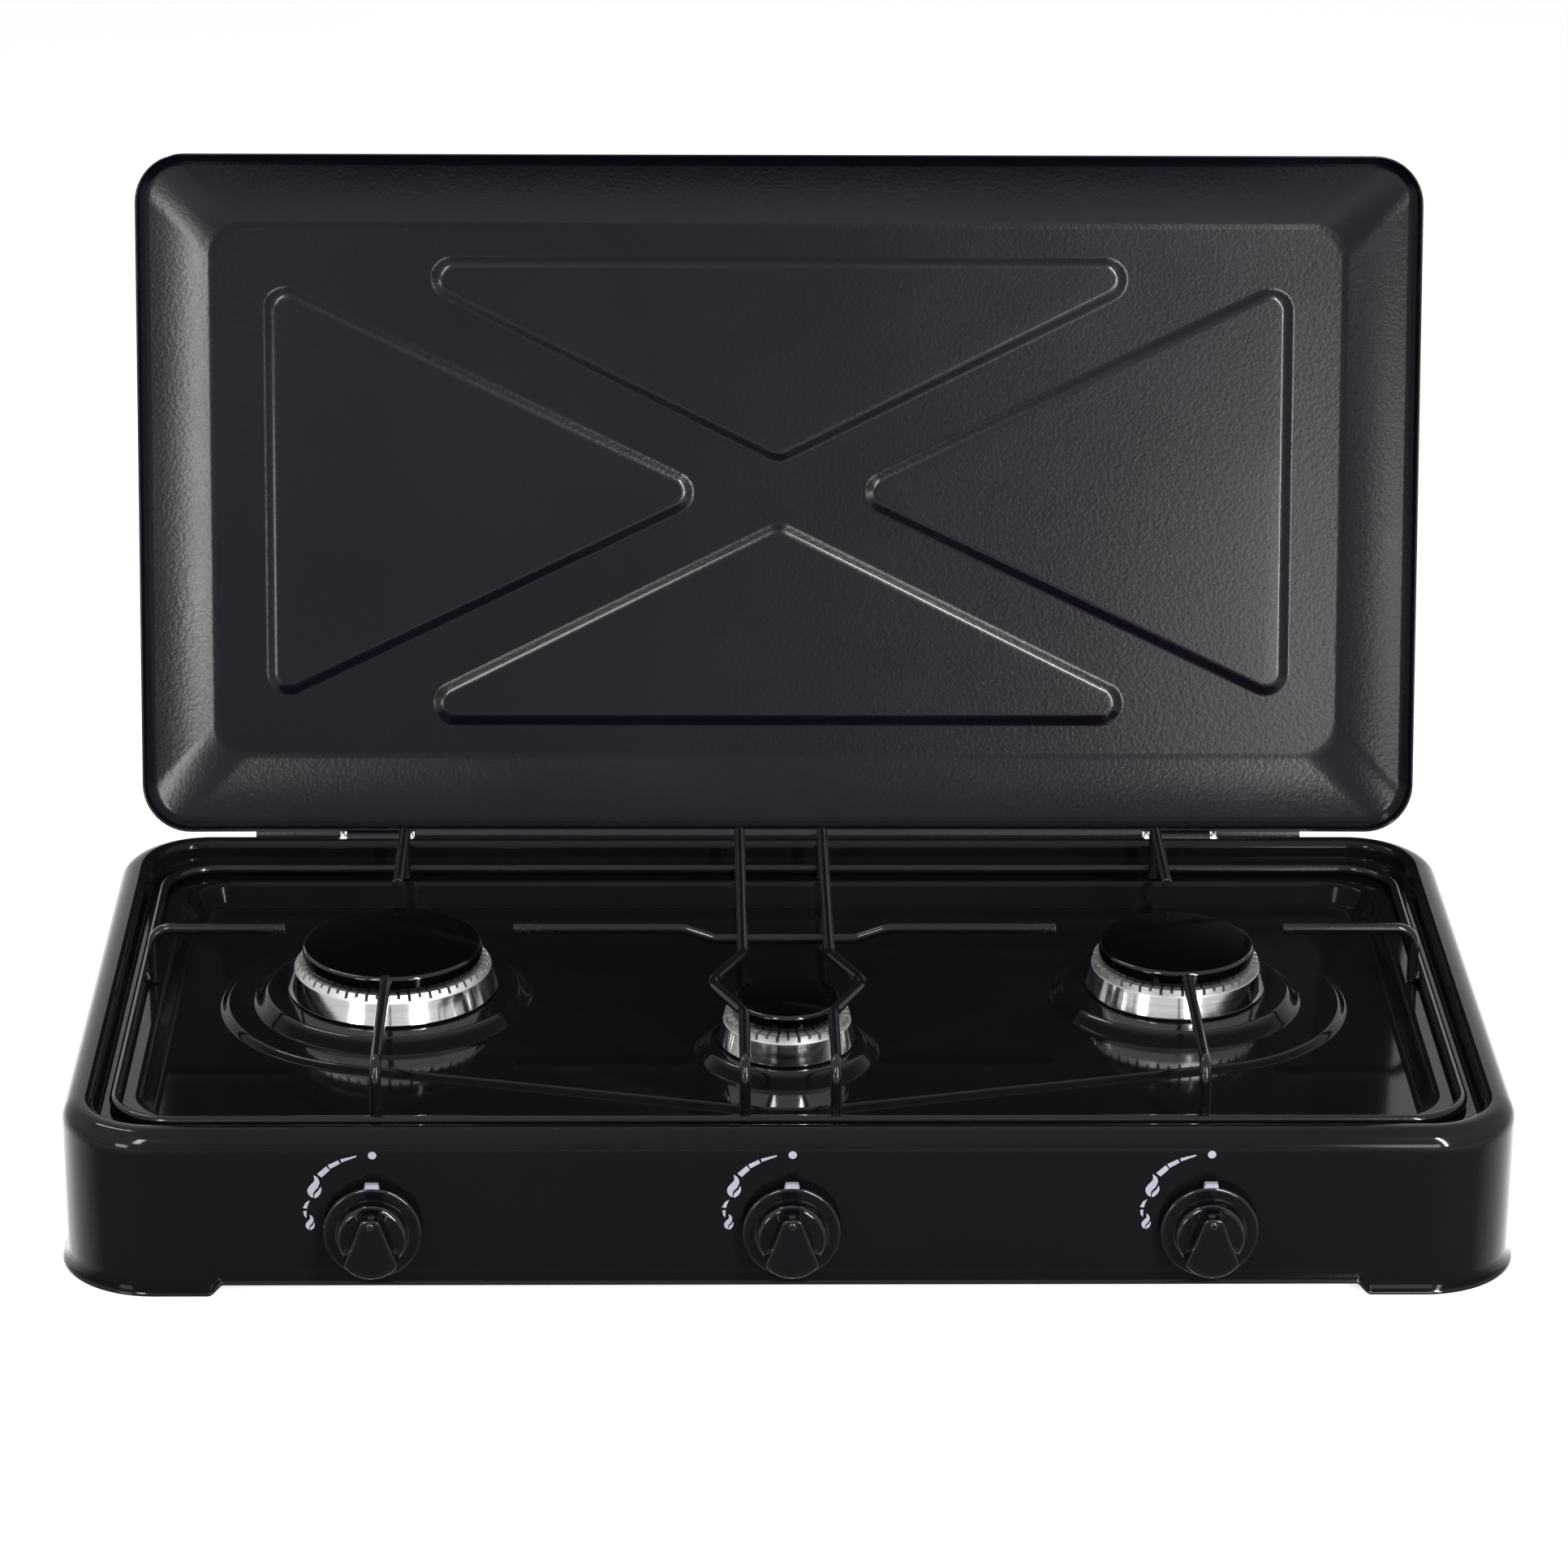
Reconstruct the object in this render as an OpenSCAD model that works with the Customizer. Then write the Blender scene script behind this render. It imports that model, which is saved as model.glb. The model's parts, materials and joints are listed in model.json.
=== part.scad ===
// Three-burner tabletop gas stove with its lid open.
// Millimetres. X to the right, Y to the rear, Z up.
// The origin lies on the table under the middle of the casing.

/* [Casing] */
// Width, left to right
body_w = 650; // [620:1:720]
// Depth, front to rear
body_d = 350; // [340:1:400]
// Height of the rim above the table
body_h = 78.5; // [76:0.5:90]
// Thickness of the pressed sheet
sheet = 1; // [0.8:0.1:1.2]
// Corner radius seen from above
corner_r = 42; // [36:1:50]
// Rounding of the outer edge of the rim
rim_r = 9; // [7:0.5:10]
// Flat on top of the rim
rim_flat = 1; // [0.5:0.5:3]
// Rounding of the inner edge of the rim
rim_in_r = 4; // [3:0.5:4.5]
// Drop from the rim to the ledge that carries the grate
ledge_drop = 10.5; // [9.5:0.5:12]
// Rounding between the inner wall and the ledge
ledge_r = 3; // [2:0.5:3.5]
// Width of the ledge at the left and right
ledge_side = 16; // [14:1:22]
// Width of the ledge at the front and rear
ledge_front = 24; // [20:1:30]

/* [Hob] */
// Drop from the ledge to the hob floor
recess_drop = 10; // [8:0.5:12]
// Corner radius of the sunk floor at the ledge
recess_corner_r = 28; // [22:1:36]
// Bend radius at the top and bottom of the recess slope
recess_bend_r = 4; // [3:0.5:5]
// Angle of the recess slope
recess_slope = 60; // [50:1:70]
// Height of the raised field round the burners
field_h = 2.5; // [1.5:0.5:3.5]
// Width of the sloped edge of the raised field
field_edge = 5; // [3:0.5:7]
// Radius of the raised field round the outer burners
field_r_side = 82; // [78:1:88]
// Radius of the raised field round the middle burner
field_r_centre = 65; // [58:1:70]
// Rear edge of the raised field between the outer burners
field_rear_y = 74; // [60:1:80]
// Height of the burner seats above the raised field
seat_h = 6; // [4:0.5:7]
// Width of the sloped edge of a burner seat
seat_edge = 8.5; // [6:0.5:10]
// Radius of the flat of the large left seat
seat_r_large = 58; // [54:1:62]
// Radius of the flat of the small middle seat
seat_r_small = 35; // [33:1:40]
// Radius of the flat of the medium right seat
seat_r_medium = 52; // [47:1:58]

/* [Skirt] */
// Height of the flared bottom edge
lip_h = 8; // [6:0.5:10]
// Radius of the flare
lip_r = 12; // [11:0.5:18]
// Clearance under the edge between the corner feet
edge_lift = 5.5; // [3:0.5:8]
// Length of the straight part of a corner foot
foot_run = 24; // [15:1:40]
// Length of the slope from a foot to the lifted edge
foot_slope = 7; // [5:0.5:12]

/* [Lid] */
// Width of the lid
lid_w = 636; // [610:1:640]
// Depth of the lid
lid_d = 337; // [330:1:340]
// Height of the lid
lid_h = 26; // [25.5:0.5:32]
// Corner radius of the lid
lid_corner_r = 24; // [18:1:30]
// Height of the upright wall of the lid
lid_wall_h = 9; // [8.5:0.5:12]
// Width of the sloped shoulder
lid_shoulder = 35; // [28:1:42]
// Gap between the closed lid and the rim
lid_gap = 0.3; // [0.3:0.1:2]
// Opening angle of the lid
lid_angle = 104.2; // [95:0.1:110]
// Depth of the pressed triangles
panel_press = 2; // [1:0.5:2.5]
// Corner rounding of the pressed triangles
panel_r = 10; // [7:1:14]
// Space between the tips of the side triangles
panel_gap = 52; // [40:1:70]
// Distance of the side slots from the front edge of the lid
slot_y = 62; // [40:1:100]
// Length of the side slots
slot_l = 11; // [8:0.5:16]
// Height of the side slots
slot_h = 3; // [2:0.5:4]

/* [Hinge] */
// Sideways distance of each hinge from the middle
hinge_x = 201; // [150:1:230]
// Width of the hinge leaf
leaf_w = 30; // [20:1:31]
// Thickness of the hinge metal
leaf_t = 1.5; // [1.2:0.1:1.6]
// Radius of the hinge pin
pin_r = 2; // [1.6:0.1:2.2]
// Running clearance of the leaf on its pin
pin_clear = 0.05; // [0.02:0.01:0.1]
// Width of each notch in the rear rim
hinge_notch_w = 37; // [36:0.5:44]
// Distance of the hinge axis from the rear wall
hinge_in = 3.5; // [3.4:0.1:4]
// Distance of the hinge axis behind the rear wall of the lid
hinge_back = 3; // [2.8:0.1:3.2]
// Radius of the rivets
rivet_r = 1.6; // [1.2:0.1:2]

/* [Grate] */
// Wire diameter
wire_d = 5.2; // [4:0.1:6]
// Gap between the resting grate and the ledge
grate_gap = 0.3; // [0.3:0.1:0.6]
// Height of the wire tops above the rim
grate_rise = 19.6; // [17:0.1:20.5]
// Bend radius of the wires
wire_bend = 8; // [7:0.5:12]
// Distance of the outer loop from the inner wall, centre to wall
loop_in_side = 8; // [5:0.5:9]
// Distance of the outer loop from the front and rear inner walls
loop_in_front = 16.5; // [10:0.5:18]
// Corner radius of the outer loop
loop_r = 26; // [18:1:36]
// Gap left for the weld between two wires
weld_gap = 0.1; // [0.05:0.01:0.2]
// Reach of the side finger tips from the burner centres
tip_side = 50; // [46:1:70]
// Reach of the front finger tips from the burner centres
tip_front = 58; // [50:1:70]
// Reach of the rear finger tips from the burner centres
tip_rear = 55; // [50:1:70]
// Reach of the cross wire tips from the burner centres
tip_cross = 57; // [50:1:66]
// Spacing of the two centre wires
centre_gap = 40.5; // [34:0.5:48]
// Spacing of the centre wires beside the middle burner
centre_wide = 71; // [66:0.5:90]
// Length of the widening in front of and behind the middle burner
centre_kink = 33; // [28:1:40]

/* [Burners] */
// Sideways distance of the outer burners from the middle one
burner_pitch = 185; // [170:1:190]
// Position of the outer burners, towards the rear
side_burner_y = 13; // [5:1:20]
// Position of the middle burner, towards the rear
centre_burner_y = -49; // [-55:1:-42]
// Cap radius of the large left burner
cap_r_large = 42.3; // [38:0.1:43]
// Cap radius of the small middle burner
cap_r_small = 24.4; // [20:0.1:26]
// Cap radius of the medium right burner
cap_r_medium = 36.6; // [32:0.1:38]
// Crown radius of the large head
crown_r_large = 44.2; // [43.5:0.1:46]
// Crown radius of the small head
crown_r_small = 28.8; // [27:0.1:29.5]
// Crown radius of the medium head
crown_r_medium = 39; // [38.5:0.1:40]
// Largest radius of the large head
head_r_large = 49.5; // [49:0.1:50]
// Largest radius of the small head
head_r_small = 31.6; // [31:0.1:32.2]
// Largest radius of the medium head
head_r_medium = 42.4; // [42:0.1:46]
// Spigot radius of the large head
spigot_r_large = 22; // [18:0.5:24]
// Spigot radius of the small head
spigot_r_small = 14; // [11:0.5:14.5]
// Spigot radius of the medium head
spigot_r_medium = 18; // [15:0.5:21]
// Slots of the large head, in steps of four
slots_large = 56; // [40:4:64]
// Slots of the small head, in steps of four
slots_small = 36; // [24:4:40]
// Slots of the medium head, in steps of four
slots_medium = 48; // [36:4:56]
// Slot width
slot_w = 1.5; // [1.2:0.1:1.6]
// Depth of the long slots
slot_deep = 2.8; // [2.2:0.1:3.2]
// Depth of the short slots
slot_short = 1.6; // [1:0.1:2]
// Radius of the curved side of a head
side_curve_r = 15.8; // [14:0.1:30]
// Rounding of the lower edge of a head
head_foot_r = 2.5; // [1.5:0.1:4]
// Height of a head above its seat
head_h = 14.5; // [13.5:0.5:16]
// Height of the slotted crown
crown_h = 3.5; // [3.5:0.1:4.5]
// Wall of the head and of the cup
head_wall = 3; // [2.5:0.1:3.5]
// Gap under a resting head and a resting cap
rest_gap = 0.3; // [0.3:0.05:0.6]
// Thickness of a cap at its middle
cap_h = 8.6; // [8:0.1:10]
// Width of the ring that carries a cap, inside its edge
cap_rest = 3.5; // [2.5:0.1:4.5]
// Side clearance of a cap skirt in its head
cap_clear = 0.8; // [0.4:0.1:1.2]
// Side clearance of a spigot in its cup
spigot_clear = 0.4; // [0.35:0.05:0.8]
// Width of the cup flange
flange_w = 8; // [7.5:0.1:8.5]
// Depth of the cup bottom under the axis of its mixing tube
cup_under = 14.5; // [14.5:0.5:21]
// Outer radius of the mixing tubes
tube_r = 10; // [8:0.5:11]
// Wall of the mixing tubes
tube_wall = 1.2; // [1:0.1:1.6]
// Flare of the mixing tube mouth
tube_flare = 3; // [1:0.5:4]
// Length of the mixing tube inside the cup socket
tube_in = 6; // [4:0.5:7]

/* [Valves and knobs] */
// Depth of the knob axis under the rim
knob_drop = 45; // [43.5:0.5:47.5]
// Radius of the knob skirt
knob_skirt_r = 21.8; // [19:0.1:24]
// Thickness of the knob skirt
knob_skirt_t = 3; // [2:0.5:4]
// Radius of the knob body
knob_body_r = 16; // [15.5:0.1:18]
// Depth of the knob body over the skirt
knob_body_h = 7; // [6:0.5:9]
// Depth of the whole knob
knob_h = 19.5; // [18:0.5:26]
// Radius of the round ends of the grip
grip_r = 14.5; // [13:0.1:15]
// Width of the wide end of the grip
grip_wide = 24.4; // [20:0.1:26]
// Width of the narrow end of the grip
grip_narrow = 8.3; // [6:0.1:11]
// Push travel of a knob
push = 3; // [2:0.1:3.3]
// Gap left behind a pushed knob
push_rest = 0.5; // [0.3:0.1:1.5]
// Spindle radius
spindle_r = 4; // [3:0.1:4.2]
// Flat of the D spindle, from its axis
spindle_flat = 2.8; // [2:0.1:3]
// Running clearance of spindles and plugs
run_clear = 0.05; // [0.02:0.01:0.1]
// Plug radius
plug_r = 5.95; // [5.6:0.05:6.4]
// Plug length
plug_l = 22; // [20:0.5:23]
// Length of the spring at rest
spring_l = 6; // [5:0.5:7]
// Mean radius of the spring
spring_r = 2.2; // [1.8:0.1:2.4]
// Wire diameter of the spring
spring_wire = 0.6; // [0.4:0.1:0.7]
// Radius of the valve barrel
barrel_r = 11; // [10:0.5:12]
// Length of the valve barrel
barrel_l = 30; // [28:1:32]
// Gap between the front wall and the valve barrel
barrel_gap = 10; // [8:0.5:12]
// Length of the valve nose
nose_l = 6; // [5:0.5:8]
// Injector length in front of the nose
jet_l = 10; // [8:0.5:12]

/* [Gas supply] */
// Outer radius of the rail
rail_r = 6; // [5:0.1:6.5]
// Wall of the rail
rail_wall = 1.5; // [1:0.1:2]
// Height of the rail axis over the knob axis
rail_rise = 14.5; // [14:0.1:16]
// Bend radius of the rail
rail_bend = 22; // [18:1:30]
// Sideways position of the gas inlet
inlet_x = 262; // [250:1:266]
// Radius of the inlet thread over its crests
inlet_r = 10.48; // [8.3:0.01:10.48]
// Length of the inlet behind the rear wall
inlet_out = 20; // [18:0.5:30]
// Width over the flats of the inlet nut
nut_flats = 27; // [25:0.5:28]
// Thickness of the inlet nut
nut_t = 7; // [5:0.5:9]
// Width of the rail straps and rail brackets
strap_w = 12; // [9:0.5:14]
// Thickness of the rail straps and rail brackets
strap_t = 1.5; // [1.2:0.1:1.8]
// Distance of the strap screws from the bend of a strap
strap_screw_in = 3.5; // [3.2:0.1:4.5]
// Sideways position of the rail brackets
bracket_x = 92; // [70:1:115]
// Radius of the screws
screw_r = 1.6; // [1.4:0.1:1.8]

/* [Hidden] */
$fn = 48;
half_w = body_w / 2;
half_d = body_d / 2;
rim_w = rim_r + rim_flat + rim_in_r;
rim_mid_z = body_h - rim_r;
ledge_z = body_h - ledge_drop;
inner_w = half_w - rim_w;
inner_d = half_d - rim_w;
open_w = inner_w - ledge_side;
open_d = inner_d - ledge_front;
floor_z = ledge_z - recess_drop;
bend_run = recess_bend_r * sin(recess_slope);
bend_fall = recess_bend_r * (1 - cos(recess_slope));
recess_run = 2 * bend_run + (recess_drop - 2 * bend_fall) / tan(recess_slope);
floor_in = recess_run - 0.4;
field_z = floor_z + field_h;
seat_z = field_z + seat_h;
skirt_top = edge_lift + 2 * lip_h;
lip_drop = lip_r - sqrt(lip_r * lip_r - lip_h * lip_h);
slope_bite = 0.2;
field_fill_w = burner_pitch - 50;
field_fill_y = -40;

burner_xs = [-burner_pitch, 0, burner_pitch];
burner_ys = [side_burner_y, centre_burner_y, side_burner_y];
field_rs = [field_r_side, field_r_centre, field_r_side];
cap_rs = [cap_r_large, cap_r_small, cap_r_medium];
crown_rs = [crown_r_large, crown_r_small, crown_r_medium];
head_rs = [head_r_large, head_r_small, head_r_medium];
seat_rs = [seat_r_large, seat_r_small, seat_r_medium];
spigot_rs = [spigot_r_large, spigot_r_small, spigot_r_medium];
slot_counts = [slots_large, slots_small, slots_medium];
head_z = seat_z + rest_gap;
crown_top = head_z + head_h - rest_gap;
crown_z = crown_top - crown_h;
cap_z = crown_top + rest_gap;
chamber_z = head_z + head_wall;
spigot_z = head_z - head_h;
flange_z = seat_z - sheet;
flange_t = 2;
socket_l = 8;
screw_cone = 1.6;
screw_clear = 0.15;
screw_z = seat_z - 0.1 - screw_cone;

lid_z = body_h + lid_gap;
lid_bevel_h = 4.5;
hinge_y = half_d - hinge_in;
lid_rear_y = hinge_y - hinge_back;
lid_mid_y = lid_rear_y - lid_d / 2;
hinge_z = body_h - 2.5;
eye_r = pin_r + leaf_t;
notch_z = hinge_z - eye_r - 2.5;
ear_gap = 1.25;
bracket_foot_z = hinge_z - 30;
ear_root_z = hinge_z - 16;
panel_side_in = 25;
panel_front_in = 15;
panel_side_share = 0.93;
panel_front_share = 0.83;

wire_r = wire_d / 2;
loop_w = inner_w - loop_in_side;
loop_d = inner_d - loop_in_front;
loop_z = ledge_z + grate_gap + wire_r;
wire_z = body_h + grate_rise - wire_r;
leg_z = ledge_z + grate_gap;
leg_w = loop_w - wire_d - weld_gap;
leg_d = loop_d - wire_d - weld_gap;
cross_y = side_burner_y + 0.5;
cross_dip = wire_d + weld_gap;

front_y = -half_d;
knob_z = body_h - knob_drop;
cup_bottom = knob_z - cup_under;
knob_y = front_y - push - push_rest;
barrel_y = front_y + sheet + barrel_gap;
plug_y = barrel_y + 1;
spindle_end = barrel_y + 8;
spring_end = spindle_end + spring_l;
nose_y = barrel_y + barrel_l;
jet_y = nose_y + nose_l;
rail_y = barrel_y + barrel_l / 2 - 3;
rail_z = knob_z + rail_rise;
saddle_z = rail_z - strap_t;
strap_screw_y = rail_r + strap_t + strap_screw_in;
mouth_y = jet_y + 6;
rear_y = half_d;

// Flat plate with rounded corners, its underside on z = 0
module rounded_plate(half_x, half_y, r, h) {
  translate([-half_x, -(half_y - r), 0])
    cube([2 * half_x, 2 * (half_y - r), h]);
  for (s = [-1, 1])
    translate([-(half_x - r), s > 0 ? half_y - r : -half_y, 0])
      cube([2 * (half_x - r), r, h]);
  for (q = [0 : 3])
    corner(half_x, half_y, r, q)
      rotate_extrude(angle = 90)
        square([r, h]);
}

// Moves a quarter turn to corner q of a rounded rectangle
module corner(half_x, half_y, r, q) {
  sx = q == 0 || q == 3 ? 1 : -1;
  sy = q < 2 ? 1 : -1;
  translate([sx * (half_x - r), sy * (half_y - r), 0])
    rotate([0, 0, 90 * q])
      children();
}

// Runs a section, x outwards and y up, straight along one side
module run_straight(half, length) {
  translate([half, 0, 0])
    rotate([90, 0, 0])
      linear_extrude(height = length, center = true)
        children();
}

// Runs a section round a rounded rectangle
module run_around(half_x, half_y, r) {
  for (q = [0 : 3]) {
    rotate([0, 0, 90 * q])
      run_straight(q % 2 == 0 ? half_x : half_y, 2 * ((q % 2 == 0 ? half_y : half_x) - r))
        children();
    corner(half_x, half_y, r, q)
      rotate_extrude(angle = 90)
        translate([r, 0])
          children();
  }
}

// Section of a bent sheet between two angles
module bend(x, y, r, a, b) {
  m = (a + b) / 2;
  translate([x, y])
    difference() {
      intersection() {
        circle(r);
        polygon([[0, 0], 2 * r * [cos(a), sin(a)], 3 * r * [cos(m), sin(m)], 2 * r * [cos(b), sin(b)]]);
      }
      circle(r - sheet);
    }
}

// Outer wall, rim and inner wall
module rim_section() {
  translate([-sheet, skirt_top])
    square([sheet, rim_mid_z - skirt_top]);
  bend(-rim_r, rim_mid_z, rim_r, 0, 90);
  translate([-rim_r - rim_flat, body_h - sheet])
    square([rim_flat, sheet]);
  bend(-rim_r - rim_flat, body_h - rim_in_r, rim_in_r, 90, 180);
  translate([-rim_w, ledge_z + ledge_r])
    square([sheet, ledge_drop - rim_in_r - ledge_r]);
  bend(-rim_w - ledge_r, ledge_z + ledge_r, ledge_r + sheet, 270, 360);
}

// Bottom of the wall with its flared edge
module lip_section(z) {
  translate([-sheet, z + lip_h])
    square([sheet, skirt_top - z - lip_h]);
  intersection() {
    translate([lip_r, z + lip_h])
      difference() {
        circle(lip_r + sheet);
        circle(lip_r);
      }
    translate([-sheet, z])
      square([sheet + lip_drop + 1, lip_h]);
  }
}

// Points of an arc round c between two angles
function arc(c, r, a, b) = [for (k = [0 : 6]) c + r * [cos(a + (b - a) * k / 6), sin(a + (b - a) * k / 6)]];

// Sloped edge between the ledge and the hob floor
module recess_section() {
  top = [0, ledge_z - recess_bend_r];
  foot = [-recess_run, floor_z + recess_bend_r];
  r = recess_bend_r;
  s = recess_slope;
  polygon(concat(arc(top, r, 90, 90 + s), arc(foot, r, 270 + s, 270),
    arc(foot, r + sheet, 270, 270 + s), arc(top, r - sheet, 90 + s, 90)));
}

// One side of the skirt: two feet, two slopes and the lifted edge
module skirt_side(half, length) {
  lifted = length - 2 * (foot_run + foot_slope);
  tilt = atan2(edge_lift, foot_slope);
  run_straight(half, lifted + 2 * lip_h * sin(tilt))
    lip_section(edge_lift);
  for (s = [0, 1])
    mirror([0, s, 0]) {
      translate([0, (length - foot_run) / 2, 0])
        run_straight(half, foot_run)
          lip_section(0);
      translate([half, length / 2 - foot_run, 0])
        rotate([90 - tilt, 0, 0])
          linear_extrude(height = norm([edge_lift, foot_slope]) + slope_bite)
            intersection() {
              lip_section(0);
              translate([-sheet, 0])
                square([lip_r, 1.5 * lip_h]);
            }
      translate([half - sheet, lifted / 2, edge_lift + lip_h])
        cube([sheet, foot_slope, skirt_top - edge_lift - lip_h]);
    }
}

module skirt() {
  for (q = [0 : 3]) {
    rotate([0, 0, 90 * q])
      skirt_side(q % 2 == 0 ? half_w : half_d, 2 * ((q % 2 == 0 ? half_d : half_w) - corner_r));
    corner(half_w, half_d, corner_r, q)
      rotate_extrude(angle = 90)
        translate([corner_r, 0])
          lip_section(0);
  }
}

// Raised field that carries the burners, with a root of the given depth
module field(root) {
  for (s = [0, 2])
    hull()
      for (i = [s, 1])
        translate([burner_xs[i], burner_ys[i], floor_z - root]) {
          cylinder(r = field_rs[i], h = root);
          cylinder(r1 = field_rs[i], r2 = field_rs[i] - field_edge, h = root + field_h);
        }
  rotate([90, 0, 90])
    linear_extrude(height = 2 * field_fill_w, center = true)
      polygon([[field_fill_y, floor_z - root], [field_rear_y, floor_z - root],
        [field_rear_y - field_edge, field_z], [field_fill_y, field_z]]);
}

// Cones of the three burner seats
module seats(z) {
  for (i = [0 : 2]) {
    grow = seat_edge * (seat_h + 1) / seat_h;
    translate([burner_xs[i], burner_ys[i], z])
      cylinder(r1 = seat_rs[i] + grow, r2 = seat_rs[i], h = seat_h + 1);
  }
}

// Places of the two screws beside a burner
function screw_spots(i) = [for (s = [-1, 1])
  [burner_xs[i] + s * (spigot_rs[i] + head_wall + flange_w / 2 + 0.5), burner_ys[i]]];

// Countersunk holes of the two screws beside a burner
module screw_holes(i) {
  over = 1 + 0.5 / screw_cone;
  for (p = screw_spots(i))
    translate([p[0], p[1], screw_z]) {
      translate([0, 0, -8])
        cylinder(r = screw_r + screw_clear, h = 9);
      cylinder(r1 = screw_r + screw_clear, r2 = screw_r * (1 + over) + screw_clear, h = screw_cone * over);
    }
}

module casing_holes() {
  for (i = [0 : 2]) {
    translate([burner_xs[i], burner_ys[i], floor_z])
      cylinder(r = spigot_rs[i] + 1, h = 20);
    screw_holes(i);
    translate([burner_xs[i], front_y - 5, knob_z])
      rotate([-90, 0, 0])
        cylinder(r = spindle_r + 1.5, h = 10);
  }
  for (s = [-1, 1])
    translate([s * hinge_x - hinge_notch_w / 2, half_d - rim_r - rim_flat, notch_z])
      cube([hinge_notch_w, rim_w + 5, body_h]);
  translate([inlet_x, rear_y - 5, rail_z])
    rotate([-90, 0, 0])
      cylinder(r = inlet_r + 0.4, h = 10);
}

module casing() {
  color([0.06, 0.06, 0.07])
    difference() {
      union() {
        run_around(half_w, half_d, corner_r)
          rim_section();
        skirt();
        translate([0, 0, ledge_z - sheet])
          difference() {
            rounded_plate(inner_w - ledge_r, inner_d - ledge_r, corner_r - rim_w - ledge_r, sheet);
            translate([0, 0, -1])
              rounded_plate(open_w, open_d, recess_corner_r, sheet + 2);
          }
        run_around(open_w, open_d, recess_corner_r)
          recess_section();
        translate([0, 0, floor_z - sheet])
          rounded_plate(open_w - floor_in, open_d - floor_in, recess_corner_r - floor_in, sheet);
        field(sheet);
        seats(field_z - 1);
      }
      translate([0, 0, -sheet])
        field(3);
      seats(field_z - 1 - sheet);
      casing_holes();
    }
}

// Body of the lid, closed, shrunk inwards by t
module lid_block(t) {
  low = t > 0 ? 2 : 0;
  r = lid_corner_r - t;
  top_r = 10;
  x = lid_w / 2 - t;
  y = lid_d / 2 - t;
  hull()
    for (sx = [-1, 1], sy = [-1, 1]) {
      translate([sx * (x - r), sy * (y - r), -low]) {
        cylinder(r = r, h = lid_wall_h - t + low);
        cylinder(r = r - 4, h = lid_wall_h + lid_bevel_h - t + low);
      }
      translate([sx * (x - lid_shoulder - top_r), sy * (y - lid_shoulder - top_r), lid_h - t - 1])
        cylinder(r = top_r, h = 1);
    }
}

// Points of a convex outline with its corners rounded by r, then shrunk by s
function round_corners(p, r, s) = [for (i = [0 : len(p) - 1], k = [0 : 6])
  let (a = p[(i + len(p) - 1) % len(p)], b = p[i], c = p[(i + 1) % len(p)],
    d = (b - a) / norm(b - a), e = (c - b) / norm(c - b),
    m = [d[1], -d[0]], n = [e[1], -e[0]],
    o = b - r * (m + n) / (1 + m * n),
    t = atan2(m[1], m[0]) + acos(m * n) * k / 6)
  o + (r - s) * [cos(t), sin(t)]];

// The four pressed triangles of the lid, shrunk by t
module lid_triangles(t) {
  x = lid_w / 2 - lid_shoulder - panel_side_in;
  y = lid_d / 2 - lid_shoulder - panel_front_in;
  v = y * panel_side_share;
  u = x * panel_front_share;
  for (s = [0, 180])
    rotate([0, 0, s]) {
      polygon(round_corners([[x, -v], [x, v], [panel_gap / 2, 0]], panel_r, t));
      polygon(round_corners([[u, y], [-u, y], [0, panel_gap / 4]], panel_r, t));
    }
}

// Puts a closed lid piece into the open pose
module open_lid() {
  translate([0, hinge_y, hinge_z])
    rotate([-lid_angle, 0, 0])
      translate([0, -hinge_y, -hinge_z])
        children();
}

// Rivet places in the closed lid
rivet_spots = [for (s = [-1, 1], k = [-1, 1]) [s * hinge_x + k * leaf_w / 4, lid_z + lid_wall_h / 2]];

module lid() {
  color([0.15, 0.14, 0.16])
    open_lid()
      difference() {
        translate([0, lid_mid_y, lid_z])
          difference() {
            union() {
              difference() {
                lid_block(0);
                lid_block(sheet);
              }
              translate([0, 0, lid_h - sheet - panel_press])
                linear_extrude(height = panel_press + sheet / 2)
                  lid_triangles(0);
            }
            translate([0, 0, lid_h - panel_press])
              linear_extrude(height = panel_press + 1)
                lid_triangles(sheet);
            translate([-lid_w, slot_y - lid_d / 2 - slot_l / 2, 2.5])
              cube([2 * lid_w, slot_l, slot_h]);
          }
        for (p = rivet_spots)
          translate([p[0], lid_rear_y - 5, p[1]])
            rotate([-90, 0, 0])
              cylinder(r = rivet_r + 0.1, h = 10);
      }
}

// Hinge bracket inside the rear wall
module hinge_bracket(s) {
  ear_in = leaf_w / 2 + ear_gap;
  wall_y = half_d - sheet;
  color([0.55, 0.56, 0.58])
    translate([s * hinge_x, 0, 0])
      difference() {
        union() {
          translate([-ear_in - leaf_t, wall_y - leaf_t, bracket_foot_z])
            cube([2 * (ear_in + leaf_t), leaf_t, notch_z - 2 - bracket_foot_z]);
          for (k = [-1, 1])
            translate([k > 0 ? ear_in : -ear_in - leaf_t, 0, 0])
              rotate([90, 0, 90])
                linear_extrude(height = leaf_t) {
                  translate([hinge_y, hinge_z])
                    circle(eye_r);
                  polygon([[hinge_y - eye_r, hinge_z], [hinge_y - eye_r, ear_root_z],
                    [wall_y, bracket_foot_z], [wall_y, hinge_z - 2], [hinge_y + 2, hinge_z]]);
                }
        }
        translate([-50, hinge_y, hinge_z])
          rotate([0, 90, 0])
            cylinder(r = pin_r + pin_clear, h = 100);
      }
}

module hinge_pin(s) {
  color([0.7, 0.71, 0.72])
    translate([s * hinge_x, hinge_y, hinge_z])
      rotate([0, 90, 0])
        cylinder(r = pin_r, h = hinge_notch_w - 0.6, center = true);
}

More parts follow.
